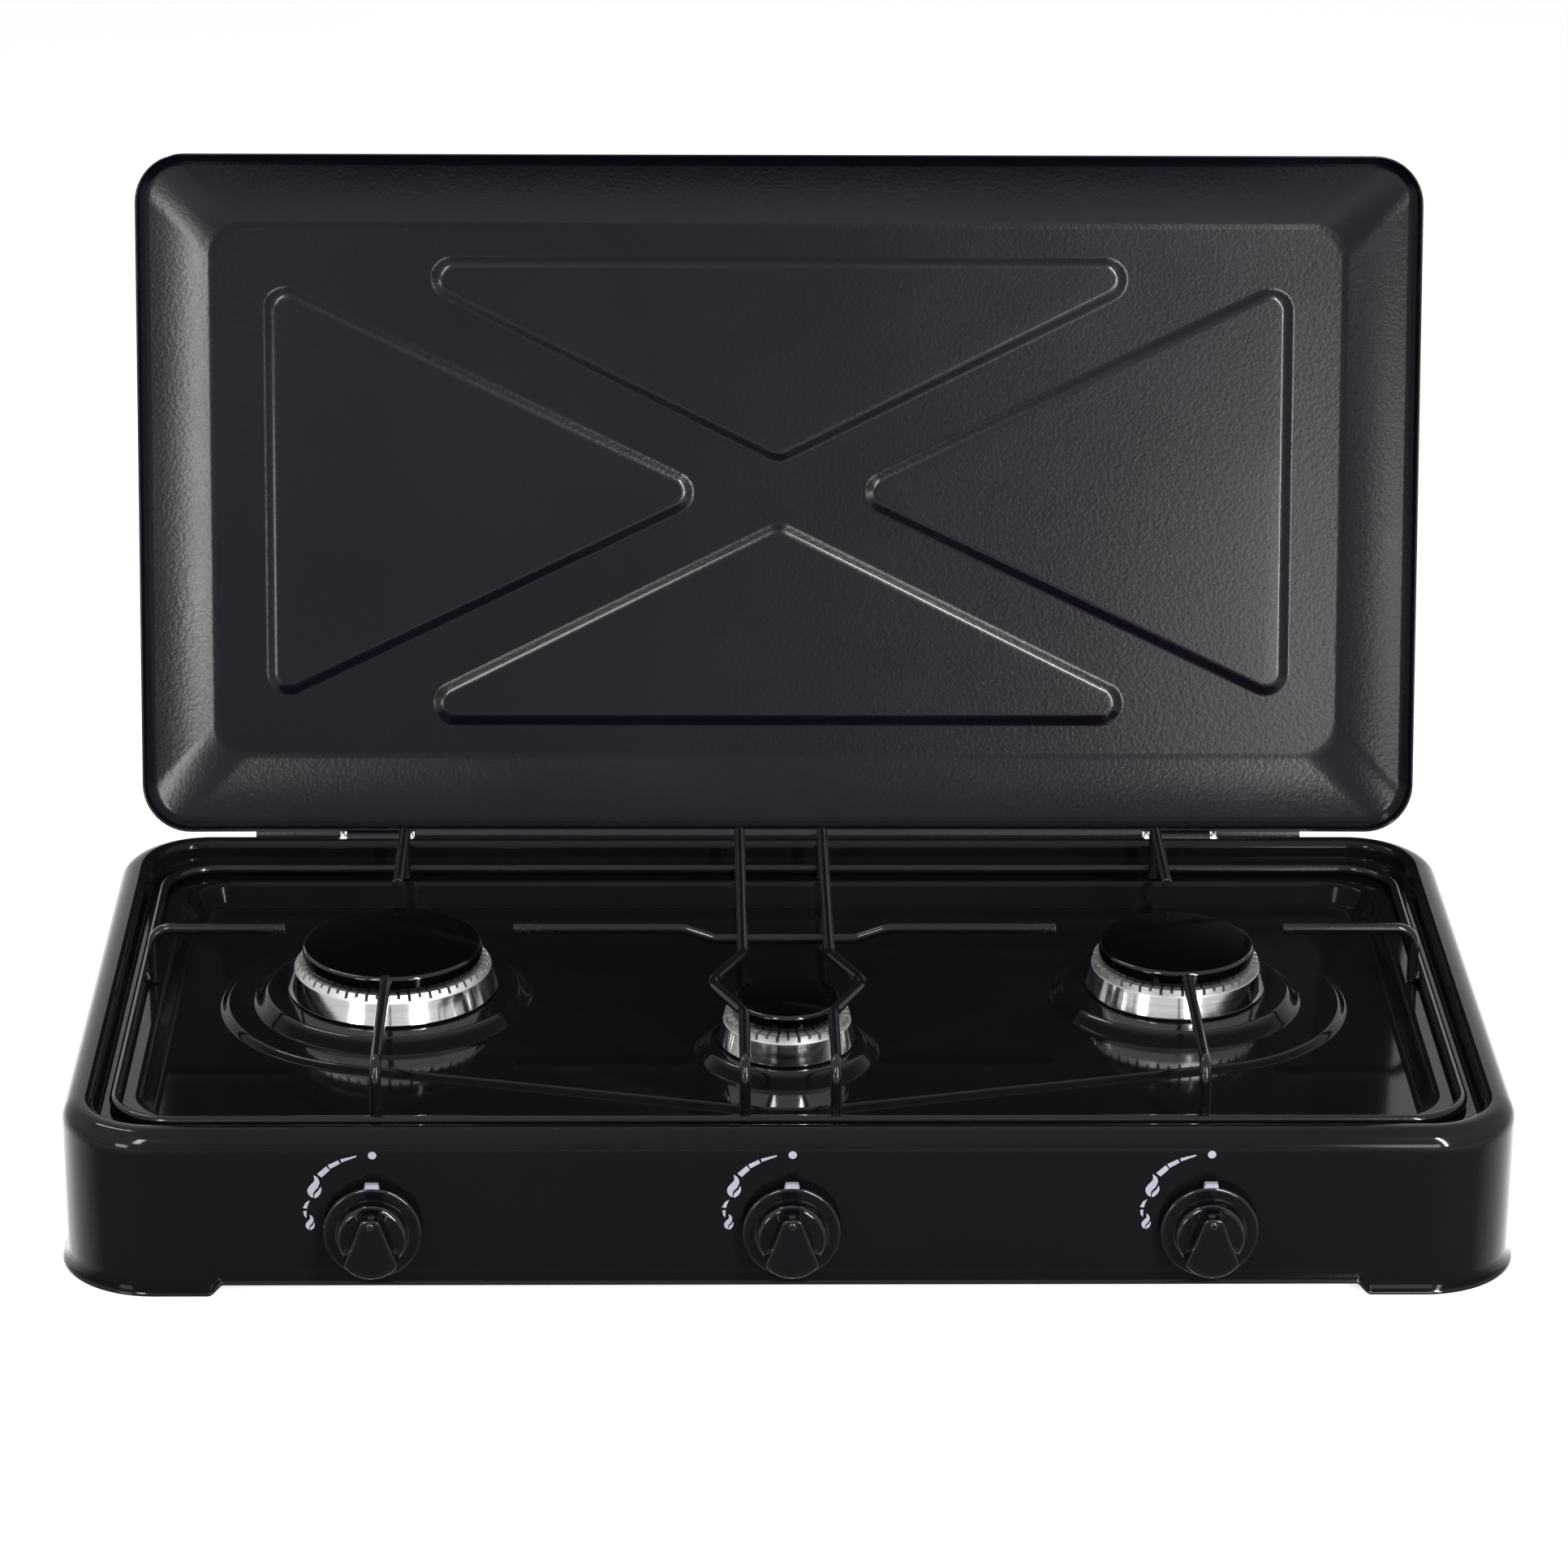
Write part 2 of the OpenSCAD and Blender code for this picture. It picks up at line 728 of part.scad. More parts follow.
// Leaf riveted to the rear wall of the lid, with its eye round the pin
module lid_leaf(s) {
  color([0.15, 0.14, 0.16])
    open_lid()
      difference() {
        union() {
          translate([s * hinge_x - leaf_w / 2, lid_rear_y, hinge_z])
            cube([leaf_w, leaf_t, lid_z + lid_wall_h - 1 - hinge_z]);
          translate([s * hinge_x - leaf_w / 2, hinge_y, hinge_z])
            rotate([0, 90, 0])
              cylinder(r = eye_r, h = leaf_w);
        }
        translate([s * hinge_x - leaf_w, hinge_y, hinge_z])
          rotate([0, 90, 0])
            cylinder(r = pin_r + pin_clear, h = 2 * leaf_w);
        for (p = rivet_spots)
          translate([p[0], lid_rear_y - 5, p[1]])
            rotate([-90, 0, 0])
              cylinder(r = rivet_r + 0.1, h = 10);
      }
}

module leaf_rivets() {
  color([0.3, 0.3, 0.32])
    open_lid()
      for (p = rivet_spots)
        translate([p[0], lid_rear_y - sheet, p[1]])
          rotate([-90, 0, 0]) {
            cylinder(r = rivet_r, h = sheet + leaf_t);
            translate([0, 0, -0.8])
              cylinder(r1 = rivet_r, r2 = 1.8 * rivet_r, h = 0.8);
            translate([0, 0, sheet + leaf_t])
              cylinder(r1 = 1.8 * rivet_r, r2 = rivet_r, h = 1);
          }
}

// Straight wire between two points, its seam turned out of the kink planes
module rod(a, b) {
  d = b - a;
  translate(a)
    rotate([0, acos(d[2] / norm(d)), atan2(d[1], d[0])])
      rotate([0, 0, 45])
        cylinder(r = wire_r, h = norm(d));
}

// Wire along straight pieces with a swelling at each kink
module kinked_wire(p) {
  for (i = [0 : len(p) - 2])
    rod(p[i], p[i + 1]);
  d = p[1] - p[0];
  for (i = [1 : len(p) - 2])
    translate(p[i])
      rotate([0, 0, atan2(d[1], d[0]) + 90])
        sphere(wire_r + 0.1, $fn = 32);
}

// Bend and leg that end a wire at x = b in the x-z plane
module leg(b) {
  translate([b - wire_bend, 0, wire_z - wire_bend])
    rotate([90, 0, 0])
      rotate_extrude(angle = 90)
        translate([wire_bend, 0])
          circle(wire_r);
  translate([b, 0, leg_z])
    cylinder(r = wire_r, h = wire_z - wire_bend - leg_z);
}

module grate_colour() {
  color([0.07, 0.07, 0.08])
    children();
}

module grate_loop() {
  grate_colour()
    translate([0, 0, loop_z])
      run_around(loop_w, loop_d, loop_r)
        circle(wire_r);
}

// Finger from its tip at distance a to its leg at distance b
module grate_finger(x, y, turn, a, b) {
  grate_colour()
    translate([x, y, 0])
      rotate([0, 0, turn]) {
        translate([a, 0, wire_z])
          rotate([0, 90, 0])
            cylinder(r = wire_r, h = b - wire_bend - a);
        leg(b);
      }
}

module side_finger(turn) {
  grate_finger(0, cross_y, turn, burner_pitch + tip_side, leg_w);
}

module front_finger(s) {
  grate_finger(s * burner_pitch, 0, -90, tip_front - side_burner_y, leg_d);
}

module rear_finger(s) {
  grate_finger(s * burner_pitch, 0, 90, tip_rear + side_burner_y, leg_d);
}

// Centre wire that widens round the middle burner and ends in two legs
module grate_centre_wire(s) {
  x = s * centre_gap / 2;
  y = centre_burner_y;
  end_y = leg_d - wire_bend;
  grate_colour() {
    kinked_wire([[x, end_y, wire_z], [x, y + centre_kink, wire_z], [s * centre_wide / 2, y, wire_z],
      [x, y - centre_kink, wire_z], [x, -end_y, wire_z]]);
    for (k = [-1, 1])
      translate([x, 0, 0])
        rotate([0, 0, 90 * k])
          leg(leg_d);
  }
}

// Cross wire that dips under the two centre wires
module grate_cross_wire() {
  tip = burner_pitch - tip_cross;
  low = centre_gap / 2 + 13;
  z = wire_z - cross_dip;
  grate_colour()
    translate([0, cross_y, 0])
      kinked_wire([[-tip, 0, wire_z], [-low - 15, 0, wire_z], [-low, 0, z],
        [low, 0, z], [low + 15, 0, wire_z], [tip, 0, wire_z]]);
}

// Moves a burner piece to its place
module at_burner(i) {
  translate([burner_xs[i], burner_ys[i], 0])
    children();
}

module burner_cap(i) {
  r = cap_rs[i];
  in_r = r - cap_rest - cap_clear;
  color([0.05, 0.05, 0.05])
    at_burner(i)
      rotate_extrude()
        polygon([[0, cap_z + 1.5], [in_r - 2.5, cap_z + 1.5], [in_r - 2.5, cap_z - 5], [in_r, cap_z - 5],
          [in_r, cap_z], [r - 1, cap_z], [r, cap_z + 2], [r, cap_z + cap_h - 2.8],
          [r - 0.6, cap_z + cap_h - 1.7], [r - 2, cap_z + cap_h - 1], [r * 0.6, cap_z + cap_h - 0.3],
          [0, cap_z + cap_h]]);
}

// Turned section of a head: spigot, chamber floor, curved side and crown
module head_section(i) {
  q = cap_rs[i] - cap_rest;
  t = crown_rs[i];
  s = spigot_rs[i];
  wide_z = head_z + head_foot_r;
  foot = [head_rs[i] - head_foot_r, wide_z];
  side = [head_rs[i] - side_curve_r, wide_z];
  rise = asin((crown_z - wide_z) / side_curve_r);
  edge = side[0] + side_curve_r * cos(rise);
  polygon(concat(
    [[s - head_wall, spigot_z], [s, spigot_z], [s, head_z]],
    arc(foot, head_foot_r, -90, -15), arc(side, side_curve_r, 0, rise),
    [[max(t + 0.4, edge - 0.4), crown_z], [t, crown_top], [q, crown_top],
     [q, chamber_z + 2], [q - 2, chamber_z], [s - head_wall, chamber_z]]));
}

module burner_head(i) {
  n = slot_counts[i];
  color([0.78, 0.79, 0.8])
    at_burner(i)
      difference() {
        rotate_extrude()
          head_section(i);
        for (k = [0 : n / 2 - 1])
          rotate([0, 0, 360 * k / n]) {
            depth = k % 2 == 0 ? slot_deep : slot_short;
            translate([-80, -slot_w / 2, crown_top - depth])
              cube([160, slot_w, depth + 1]);
          }
      }
}

module burner_cup(i) {
  bore = spigot_rs[i] + spigot_clear;
  r = bore + head_wall;
  color([0.6, 0.61, 0.62])
    difference() {
      union() {
        at_burner(i) {
          translate([0, 0, cup_bottom])
            cylinder(r = r, h = flange_z - cup_bottom);
          translate([0, 0, flange_z - flange_t])
            cylinder(r = r + flange_w, h = flange_t);
          translate([0, 0, knob_z])
            rotate([90, 0, 0])
              cylinder(r = tube_r + 3, h = r + socket_l);
        }
      }
      at_burner(i) {
        translate([0, 0, cup_bottom + 2.5])
          cylinder(r = bore, h = 80);
        translate([0, 0, knob_z])
          rotate([90, 0, 0])
            cylinder(r = tube_r - tube_wall, h = r + socket_l + 1);
        translate([0, -r - socket_l + tube_in, knob_z])
          rotate([90, 0, 0])
            cylinder(r = tube_r + 0.1, h = tube_in + 1);
      }
      screw_holes(i);
    }
}

// Mixing tube from its flared mouth to the cup socket
module mixing_tube(i) {
  r = spigot_rs[i] + spigot_clear + head_wall;
  length = burner_ys[i] - r - socket_l + tube_in - mouth_y;
  w = tube_wall;
  color([0.66, 0.67, 0.68])
    translate([burner_xs[i], mouth_y, knob_z])
      rotate([-90, 0, 0])
        rotate_extrude()
          polygon([[tube_r - w + tube_flare, 0], [tube_r + tube_flare, 0], [tube_r, 8], [tube_r, length],
            [tube_r - w, length], [tube_r - w, 8]]);
}

module injector(i) {
  color([0.72, 0.58, 0.28])
    translate([burner_xs[i], jet_y, knob_z])
      rotate([-90, 0, 0])
        difference() {
          union() {
            translate([0, 0, -4])
              cylinder(r = 3, h = 5);
            cylinder(r = 5, h = jet_l - 4, $fn = 6);
            translate([0, 0, jet_l - 4])
              cylinder(r1 = 4, r2 = 2.4, h = 4);
          }
          translate([0, 0, -5])
            cylinder(r = 1.6, h = jet_l + 3);
          cylinder(r = 0.5, h = jet_l + 1);
        }
}

module valve_body(i) {
  rail_gap = run_clear;
  color([0.72, 0.6, 0.32])
    difference() {
      union() {
        translate([burner_xs[i], barrel_y, knob_z])
          rotate([-90, 0, 0]) {
            cylinder(r = barrel_r, h = barrel_l);
            cylinder(r = 7, h = barrel_l + nose_l);
          }
        translate([burner_xs[i] - 8, barrel_y, knob_z])
          cube([16, barrel_l, saddle_z - knob_z]);
      }
      translate([burner_xs[i], barrel_y - 1, knob_z])
        rotate([-90, 0, 0]) {
          cylinder(r = plug_r + run_clear, h = plug_l + 3);
          cylinder(r = 2, h = barrel_l + nose_l + 5);
        }
      translate([burner_xs[i], jet_y - 5, knob_z])
        rotate([-90, 0, 0])
          cylinder(r = 3.1, h = 10);
      translate([burner_xs[i] - 20, rail_y, rail_z])
        rotate([0, 90, 0])
          cylinder(r = rail_r + rail_gap, h = 40);
      translate([burner_xs[i], rail_y, knob_z])
        cylinder(r = 1.5, h = rail_rise);
      for (k = [-1, 1])
        translate([burner_xs[i], rail_y + k * strap_screw_y, saddle_z - 6])
          cylinder(r = screw_r + 0.1, h = 10);
    }
}

// D section of the spindle, grown by c
module spindle_section(c) {
  difference() {
    circle(spindle_r + c);
    translate([-20, spindle_flat + c])
      square(40);
  }
}

// Hollow valve plug, turned by the spindle, with its gas ports
module valve_plug(i) {
  color([0.75, 0.62, 0.35])
    translate([burner_xs[i], plug_y, knob_z])
      rotate([-90, 0, 0])
        difference() {
          cylinder(r = plug_r, h = plug_l);
          translate([0, 0, -1])
            linear_extrude(height = spring_end - plug_y + 1)
              rotate([0, 0, 180])
                spindle_section(run_clear);
          translate([0, 0, spring_end - plug_y + 2])
            cylinder(r = 2, h = plug_l);
          translate([10, 0, spring_end - plug_y + 4.5])
            rotate([0, -90, 0])
              cylinder(r = 1.5, h = 10);
        }
}

module valve_spindle(i) {
  color([0.72, 0.73, 0.75])
    translate([burner_xs[i], spindle_end, knob_z])
      rotate([90, 0, 0])
        linear_extrude(height = spindle_end - knob_y + 13)
          spindle_section(0);
}

// Return spring behind the spindle: five closed rings joined by short struts
module valve_spring(i) {
  pitch = (spring_l - 2 * spring_wire) / 4;
  color([0.6, 0.6, 0.62])
    translate([burner_xs[i], spindle_end + spring_wire, knob_z])
      rotate([-90, 0, 0]) {
        for (k = [0 : 4])
          translate([0, 0, k * pitch])
            rotate_extrude($fn = 24)
              translate([spring_r, 0])
                circle(spring_wire / 2, $fn = 14);
        for (k = [0 : 3])
          rotate([0, 0, 180 * k])
            translate([spring_r, 0, k * pitch])
              cylinder(r = spring_wire / 3, h = pitch, $fn = 14);
      }
}

// Tapered bar cut round at both ends
module grip_section() {
  high = sqrt(grip_r * grip_r - grip_narrow * grip_narrow / 4);
  low = -sqrt(grip_r * grip_r - grip_wide * grip_wide / 4);
  taper = (grip_wide - grip_narrow) / 2 / (high - low);
  end = grip_r + 1;
  narrow = grip_narrow / 2 - taper * (end - high);
  wide = grip_wide / 2 + taper * (end + low);
  intersection() {
    circle(grip_r);
    polygon([[-narrow, end], [-wide, -end], [wide, -end], [narrow, end]]);
  }
}

// Knob with a skirt, a pointer and a tapered grip
module knob(i) {
  color([0.08, 0.07, 0.09])
    translate([burner_xs[i], knob_y, knob_z])
      rotate([90, 0, 0])
        difference() {
          union() {
            rotate_extrude()
              polygon([[0, 0], [knob_skirt_r, 0], [knob_skirt_r, knob_skirt_t - 1.2],
                [knob_skirt_r - 1.2, knob_skirt_t], [knob_body_r + 1.2, knob_skirt_t],
                [knob_body_r, knob_skirt_t + 1.2], [knob_body_r - 0.4, knob_skirt_t + knob_body_h - 2.5],
                [knob_body_r - 2.5, knob_skirt_t + knob_body_h - 1], [0, knob_skirt_t + knob_body_h]]);
            linear_extrude(height = knob_h)
              grip_section();
            translate([0, grip_r - 3, knob_h - 0.5])
              cylinder(r = 1.8, h = 1.1);
            translate([0, knob_skirt_r - 0.5, 0])
              linear_extrude(height = knob_skirt_t - 0.6)
                polygon([[-4, -2], [4, -2], [2.8, 2.4], [-2.8, 2.4]]);
          }
          translate([0, 0, -1])
            linear_extrude(height = 15)
              spindle_section(0.1);
        }
}

// Gas rail along the valves, then back to the inlet
module gas_rail() {
  start_x = -burner_pitch - 22;
  turn_x = inlet_x - rail_bend;
  turn_y = rail_y + rail_bend;
  end_y = rear_y - sheet - 10;
  color([0.62, 0.63, 0.64])
    difference() {
      rail_path(start_x, turn_x, turn_y, end_y, rail_r);
      rail_path(start_x + 2, turn_x, turn_y, end_y + 1, rail_r - rail_wall);
      for (i = [0 : 2])
        translate([burner_xs[i], rail_y, rail_z - rail_r - 1])
          cylinder(r = 1.5, h = rail_r);
    }
}

module rail_path(start_x, turn_x, turn_y, end_y, r) {
  translate([start_x, rail_y, rail_z])
    rotate([0, 90, 0])
      cylinder(r = r, h = turn_x - start_x);
  translate([turn_x, turn_y, rail_z])
    rotate([0, 0, -90])
      rotate_extrude(angle = 90)
        translate([rail_bend, 0])
          circle(r);
  translate([inlet_x, turn_y, rail_z])
    rotate([-90, 0, 0])
      cylinder(r = r, h = end_y - turn_y);
}

// Threaded inlet stub through the rear wall; the thread is left smooth
module gas_inlet() {
  color([0.72, 0.6, 0.32])
    translate([inlet_x, rear_y - sheet, rail_z])
      rotate([-90, 0, 0])
        difference() {
          union() {
            translate([0, 0, -4])
              cylinder(r = inlet_r + 3.5, h = 4);
            translate([0, 0, -16])
              cylinder(r = rail_r + 3, h = 13);
            cylinder(r = inlet_r - 0.3, h = inlet_out);
            translate([0, 0, sheet + nut_t + 0.5])
              cylinder(r = inlet_r, h = inlet_out - nut_t - 1.5);
            translate([0, 0, inlet_out + sheet - 1])
              cylinder(r1 = inlet_r, r2 = inlet_r - 1, h = 1);
          }
          translate([0, 0, -17])
            cylinder(r = rail_r - rail_wall, h = inlet_out + 30);
          translate([0, 0, -17])
            cylinder(r = rail_r + 0.1, h = 7.1);
        }
}

module inlet_nut() {
  color([0.72, 0.6, 0.32])
    translate([inlet_x, rear_y, rail_z])
      rotate([-90, 0, 0])
        difference() {
          cylinder(r = nut_flats / 2 / cos(30), h = nut_t, $fn = 6);
          translate([0, 0, -1])
            cylinder(r = inlet_r + 0.1, h = nut_t + 2);
        }
}

// Straps that hold the rail in the valve saddles
module rail_straps() {
  r = rail_r + run_clear;
  color([0.6, 0.61, 0.62])
    difference() {
      for (x = burner_xs)
        translate([x, rail_y, rail_z])
          rotate([90, 0, 90])
            linear_extrude(height = strap_w, center = true)
              difference() {
                union() {
                  intersection() {
                    circle(r + strap_t);
                    translate([-20, 0])
                      square([40, 20]);
                  }
                  translate([-strap_screw_y - strap_screw_in, -strap_t])
                    square([2 * (strap_screw_y + strap_screw_in), strap_t]);
                }
                circle(r);
              }
      for (x = burner_xs, k = [-1, 1])
        translate([x, rail_y + k * strap_screw_y, saddle_z - 1])
          cylinder(r = screw_r + 0.1, h = 10);
    }
}

// Bracket from the underside of the ledge to the rail
module rail_bracket(s) {
  r = rail_r + run_clear;
  color([0.6, 0.61, 0.62])
    translate([s * bracket_x, rail_y, rail_z])
      rotate([90, 0, 90])
        linear_extrude(height = strap_w, center = true)
          difference() {
            union() {
              circle(r + strap_t);
              translate([-strap_t / 2, 0])
                square([strap_t, ledge_z - sheet - rail_z]);
              translate([-5, ledge_z - sheet - rail_z - strap_t])
                square([16, strap_t]);
            }
            circle(r);
          }
}

module strap_screws() {
  color([0.7, 0.71, 0.72])
    for (x = burner_xs, k = [-1, 1])
      translate([x, rail_y + k * strap_screw_y, rail_z]) {
        translate([0, 0, -6])
          cylinder(r = screw_r, h = 6.5);
        cylinder(r = 2 * screw_r, h = 1.8);
      }
}

// Flush screws that hold the cups under the seats
module burner_screws() {
  color([0.7, 0.71, 0.72])
    for (i = [0 : 2], p = screw_spots(i))
      translate([p[0], p[1], screw_z]) {
        cylinder(r1 = screw_r, r2 = 2 * screw_r, h = screw_cone);
        translate([0, 0, -6])
          cylinder(r = screw_r, h = 6.1);
      }
}

casing();
lid();
hinge_bracket(-1);  // hinge_bracket_left
hinge_bracket(1);  // hinge_bracket_right
hinge_pin(-1);  // hinge_pin_left
hinge_pin(1);  // hinge_pin_right
lid_leaf(-1);  // lid_leaf_left
lid_leaf(1);  // lid_leaf_right
leaf_rivets();
grate_loop();
side_finger(180);  // grate_finger_left
side_finger(0);  // grate_finger_right
front_finger(-1);  // grate_finger_front_left
front_finger(1);  // grate_finger_front_right
rear_finger(-1);  // grate_finger_rear_left
rear_finger(1);  // grate_finger_rear_right
grate_centre_wire(-1);  // grate_centre_wire_left
grate_centre_wire(1);  // grate_centre_wire_right
grate_cross_wire();
burner_cap(0);  // burner_cap_left
burner_cap(1);  // burner_cap_centre
burner_cap(2);  // burner_cap_right
burner_head(0);  // burner_head_left
burner_head(1);  // burner_head_centre
burner_head(2);  // burner_head_right
burner_cup(0);  // burner_cup_left
burner_cup(1);  // burner_cup_centre
burner_cup(2);  // burner_cup_right
mixing_tube(0);  // mixing_tube_left
mixing_tube(1);  // mixing_tube_centre
mixing_tube(2);  // mixing_tube_right
injector(0);  // injector_left
injector(1);  // injector_centre
injector(2);  // injector_right
valve_body(0);  // valve_body_left
valve_body(1);  // valve_body_centre
valve_body(2);  // valve_body_right
valve_plug(0);  // valve_plug_left
valve_plug(1);  // valve_plug_centre
valve_plug(2);  // valve_plug_right
valve_spindle(0);  // valve_spindle_left
valve_spindle(1);  // valve_spindle_centre
valve_spindle(2);  // valve_spindle_right
valve_spring(0);  // valve_spring_left
valve_spring(1);  // valve_spring_centre
valve_spring(2);  // valve_spring_right
knob(0);  // knob_left
knob(1);  // knob_centre
knob(2);  // knob_right
gas_rail();
gas_inlet();
inlet_nut();
rail_straps();
rail_bracket(-1);  // rail_bracket_left
rail_bracket(1);  // rail_bracket_right
strap_screws();
burner_screws();
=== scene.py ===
"""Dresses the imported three-burner gas stove: pressed sheet, wires, burners, knobs, finishes and stage."""

import json
from math import acos, atan2, cos, pi, radians, sin, sqrt, tan

import bmesh
import bpy
from bpy.props import FloatProperty, FloatVectorProperty, IntVectorProperty, PointerProperty
from mathutils import Matrix, Vector


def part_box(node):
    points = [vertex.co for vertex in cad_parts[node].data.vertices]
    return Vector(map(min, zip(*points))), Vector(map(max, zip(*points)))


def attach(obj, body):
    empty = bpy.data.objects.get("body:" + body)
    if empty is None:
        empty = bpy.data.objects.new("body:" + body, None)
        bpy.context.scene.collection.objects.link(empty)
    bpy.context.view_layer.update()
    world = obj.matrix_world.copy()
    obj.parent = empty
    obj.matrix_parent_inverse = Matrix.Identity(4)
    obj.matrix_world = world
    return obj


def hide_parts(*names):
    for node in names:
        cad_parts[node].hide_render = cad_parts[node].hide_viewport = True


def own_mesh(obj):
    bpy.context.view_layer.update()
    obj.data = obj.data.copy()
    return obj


bl_info = {
    "name": "Tabletop gas stove",
    "version": (1, 0, 0),
    "blender": (4, 5, 0),
    "location": "View3D > Sidebar > Stove",
    "description": "Builds the visible shapes and finishes of a three-burner stove on its CAD frame",
    "category": "Object",
}

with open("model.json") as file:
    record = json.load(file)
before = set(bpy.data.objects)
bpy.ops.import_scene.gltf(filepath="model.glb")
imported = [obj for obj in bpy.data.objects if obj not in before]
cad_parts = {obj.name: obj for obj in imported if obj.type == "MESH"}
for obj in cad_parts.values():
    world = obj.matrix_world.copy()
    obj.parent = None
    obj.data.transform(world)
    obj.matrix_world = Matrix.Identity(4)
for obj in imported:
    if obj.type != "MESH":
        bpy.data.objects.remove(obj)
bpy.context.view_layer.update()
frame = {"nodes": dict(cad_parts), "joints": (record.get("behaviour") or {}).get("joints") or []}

MM = 0.001
BURNERS = ("left", "centre", "right")
JOINTS = {joint["name"]: joint for joint in frame["joints"]}
RIM_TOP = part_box("casing")[1].z
UP = Vector((0, 0, 1))
# Outward directions of the front, right, rear and left side, in order round the casing
OUTWARD = (Vector((0, -1, 0)), Vector((1, 0, 0)), Vector((0, 1, 0)), Vector((-1, 0, 0)))
FRONT, RIGHT, REAR, LEFT = OUTWARD
# Start of the name of every material made here, because the frame's own materials bear the slots' names
FINISH = "stove_"
# Distance at which vertices are joined, and tolerance when heights are compared
MERGE = 1e-7
NEAR = 0.0001


# Sizes, finishes and stage that a user may change


def length(name, description, default):
    """A size in metres."""
    return FloatProperty(name=name, description=description, default=default, unit="LENGTH", precision=4)


def lengths(name, description, default):
    """Three sizes in metres."""
    return FloatVectorProperty(
        name=name, description=description, default=default, unit="LENGTH", precision=4
    )


def angle(name, description, degrees):
    """An angle."""
    return FloatProperty(name=name, description=description, default=radians(degrees), subtype="ANGLE")


def share(name, description, default):
    """A number from 0 to 1."""
    return FloatProperty(name=name, description=description, default=default, min=0, max=1, subtype="FACTOR")


def amount(name, description, default):
    """A number that isn't negative."""
    return FloatProperty(name=name, description=description, default=default, min=0)


def colour(name, description, default):
    """A linear colour."""
    return FloatVectorProperty(
        name=name, description=description, default=default, subtype="COLOR", size=3, min=0, max=1
    )


class CasingSizes(bpy.types.PropertyGroup):
    """Pressed casing with its rim, ledge, sunk hob and feet."""

    half_width: length("Half width", "From the middle to the side wall", 0.325)
    half_depth: length("Half depth", "From the middle to the front wall", 0.175)
    corner: length("Corner", "Corner radius seen from above", 0.042)
    sheet: length("Sheet", "Thickness of the pressed sheet", 0.001)
    rim_round: length("Rim rounding", "Rounding of the outer edge of the rim", 0.009)
    rim_flat: length("Rim flat", "Flat on top of the rim", 0.001)
    rim_inner: length("Inner rounding", "Rounding of the inner edge of the rim", 0.004)
    ledge_drop: length("Ledge drop", "From the rim down to the ledge", 0.0105)
    ledge_round: length("Ledge rounding", "Between the inner wall and the ledge", 0.003)
    ledge_side: length("Side ledge", "Width of the ledge at the left and right", 0.016)
    ledge_front: length("Front ledge", "Width of the ledge at the front and rear", 0.024)
    recess_drop: length("Recess drop", "From the ledge down to the hob floor", 0.010)
    recess_corner: length("Recess corner", "Corner radius of the sunk floor", 0.028)
    recess_bend: length("Recess bend", "Bend radius of the recess slope", 0.004)
    recess_slope: angle("Recess slope", "Angle of the recess slope", 60)
    field_height: length("Field height", "Height of the raised field", 0.0025)
    field_edge: length("Field edge", "Width of the sloped edge of the field", 0.005)
    field_side: length("Side field", "Field radius round the outer burners", 0.082)
    field_centre: length("Centre field", "Field radius round the middle burner", 0.065)
    field_rear: length("Field rear", "Rear edge of the field between the outer burners", 0.074)
    field_round: length("Field rounding", "Rounding where the rear edge meets the outer rings", 0.015)
    seat_height: length("Seat height", "Height of the burner seats over the field", 0.006)
    seat_edge: length("Seat edge", "Width of the sloped edge of a seat", 0.0085)
    seat_radii: lengths("Seat radii", "Flat of the left, middle and right seat", (0.058, 0.035, 0.052))
    seat_holes: lengths("Seat holes", "Hole in the left, middle and right seat", (0.023, 0.015, 0.019))
    lip_height: length("Lip height", "Height of the flared bottom edge", 0.008)
    lip_round: length("Lip radius", "Radius of the flare", 0.012)
    edge_lift: length("Edge lift", "Clearance under the edge between the feet", 0.0055)
    foot_run: length("Foot length", "Straight part of a corner foot", 0.024)
    foot_slope: length("Foot slope", "Slope from a foot to the lifted edge", 0.007)
    hinge_x: length("Hinge place", "Sideways distance of each hinge notch", 0.201)
    notch_width: length("Notch width", "Width of a hinge notch in the rear rim", 0.037)


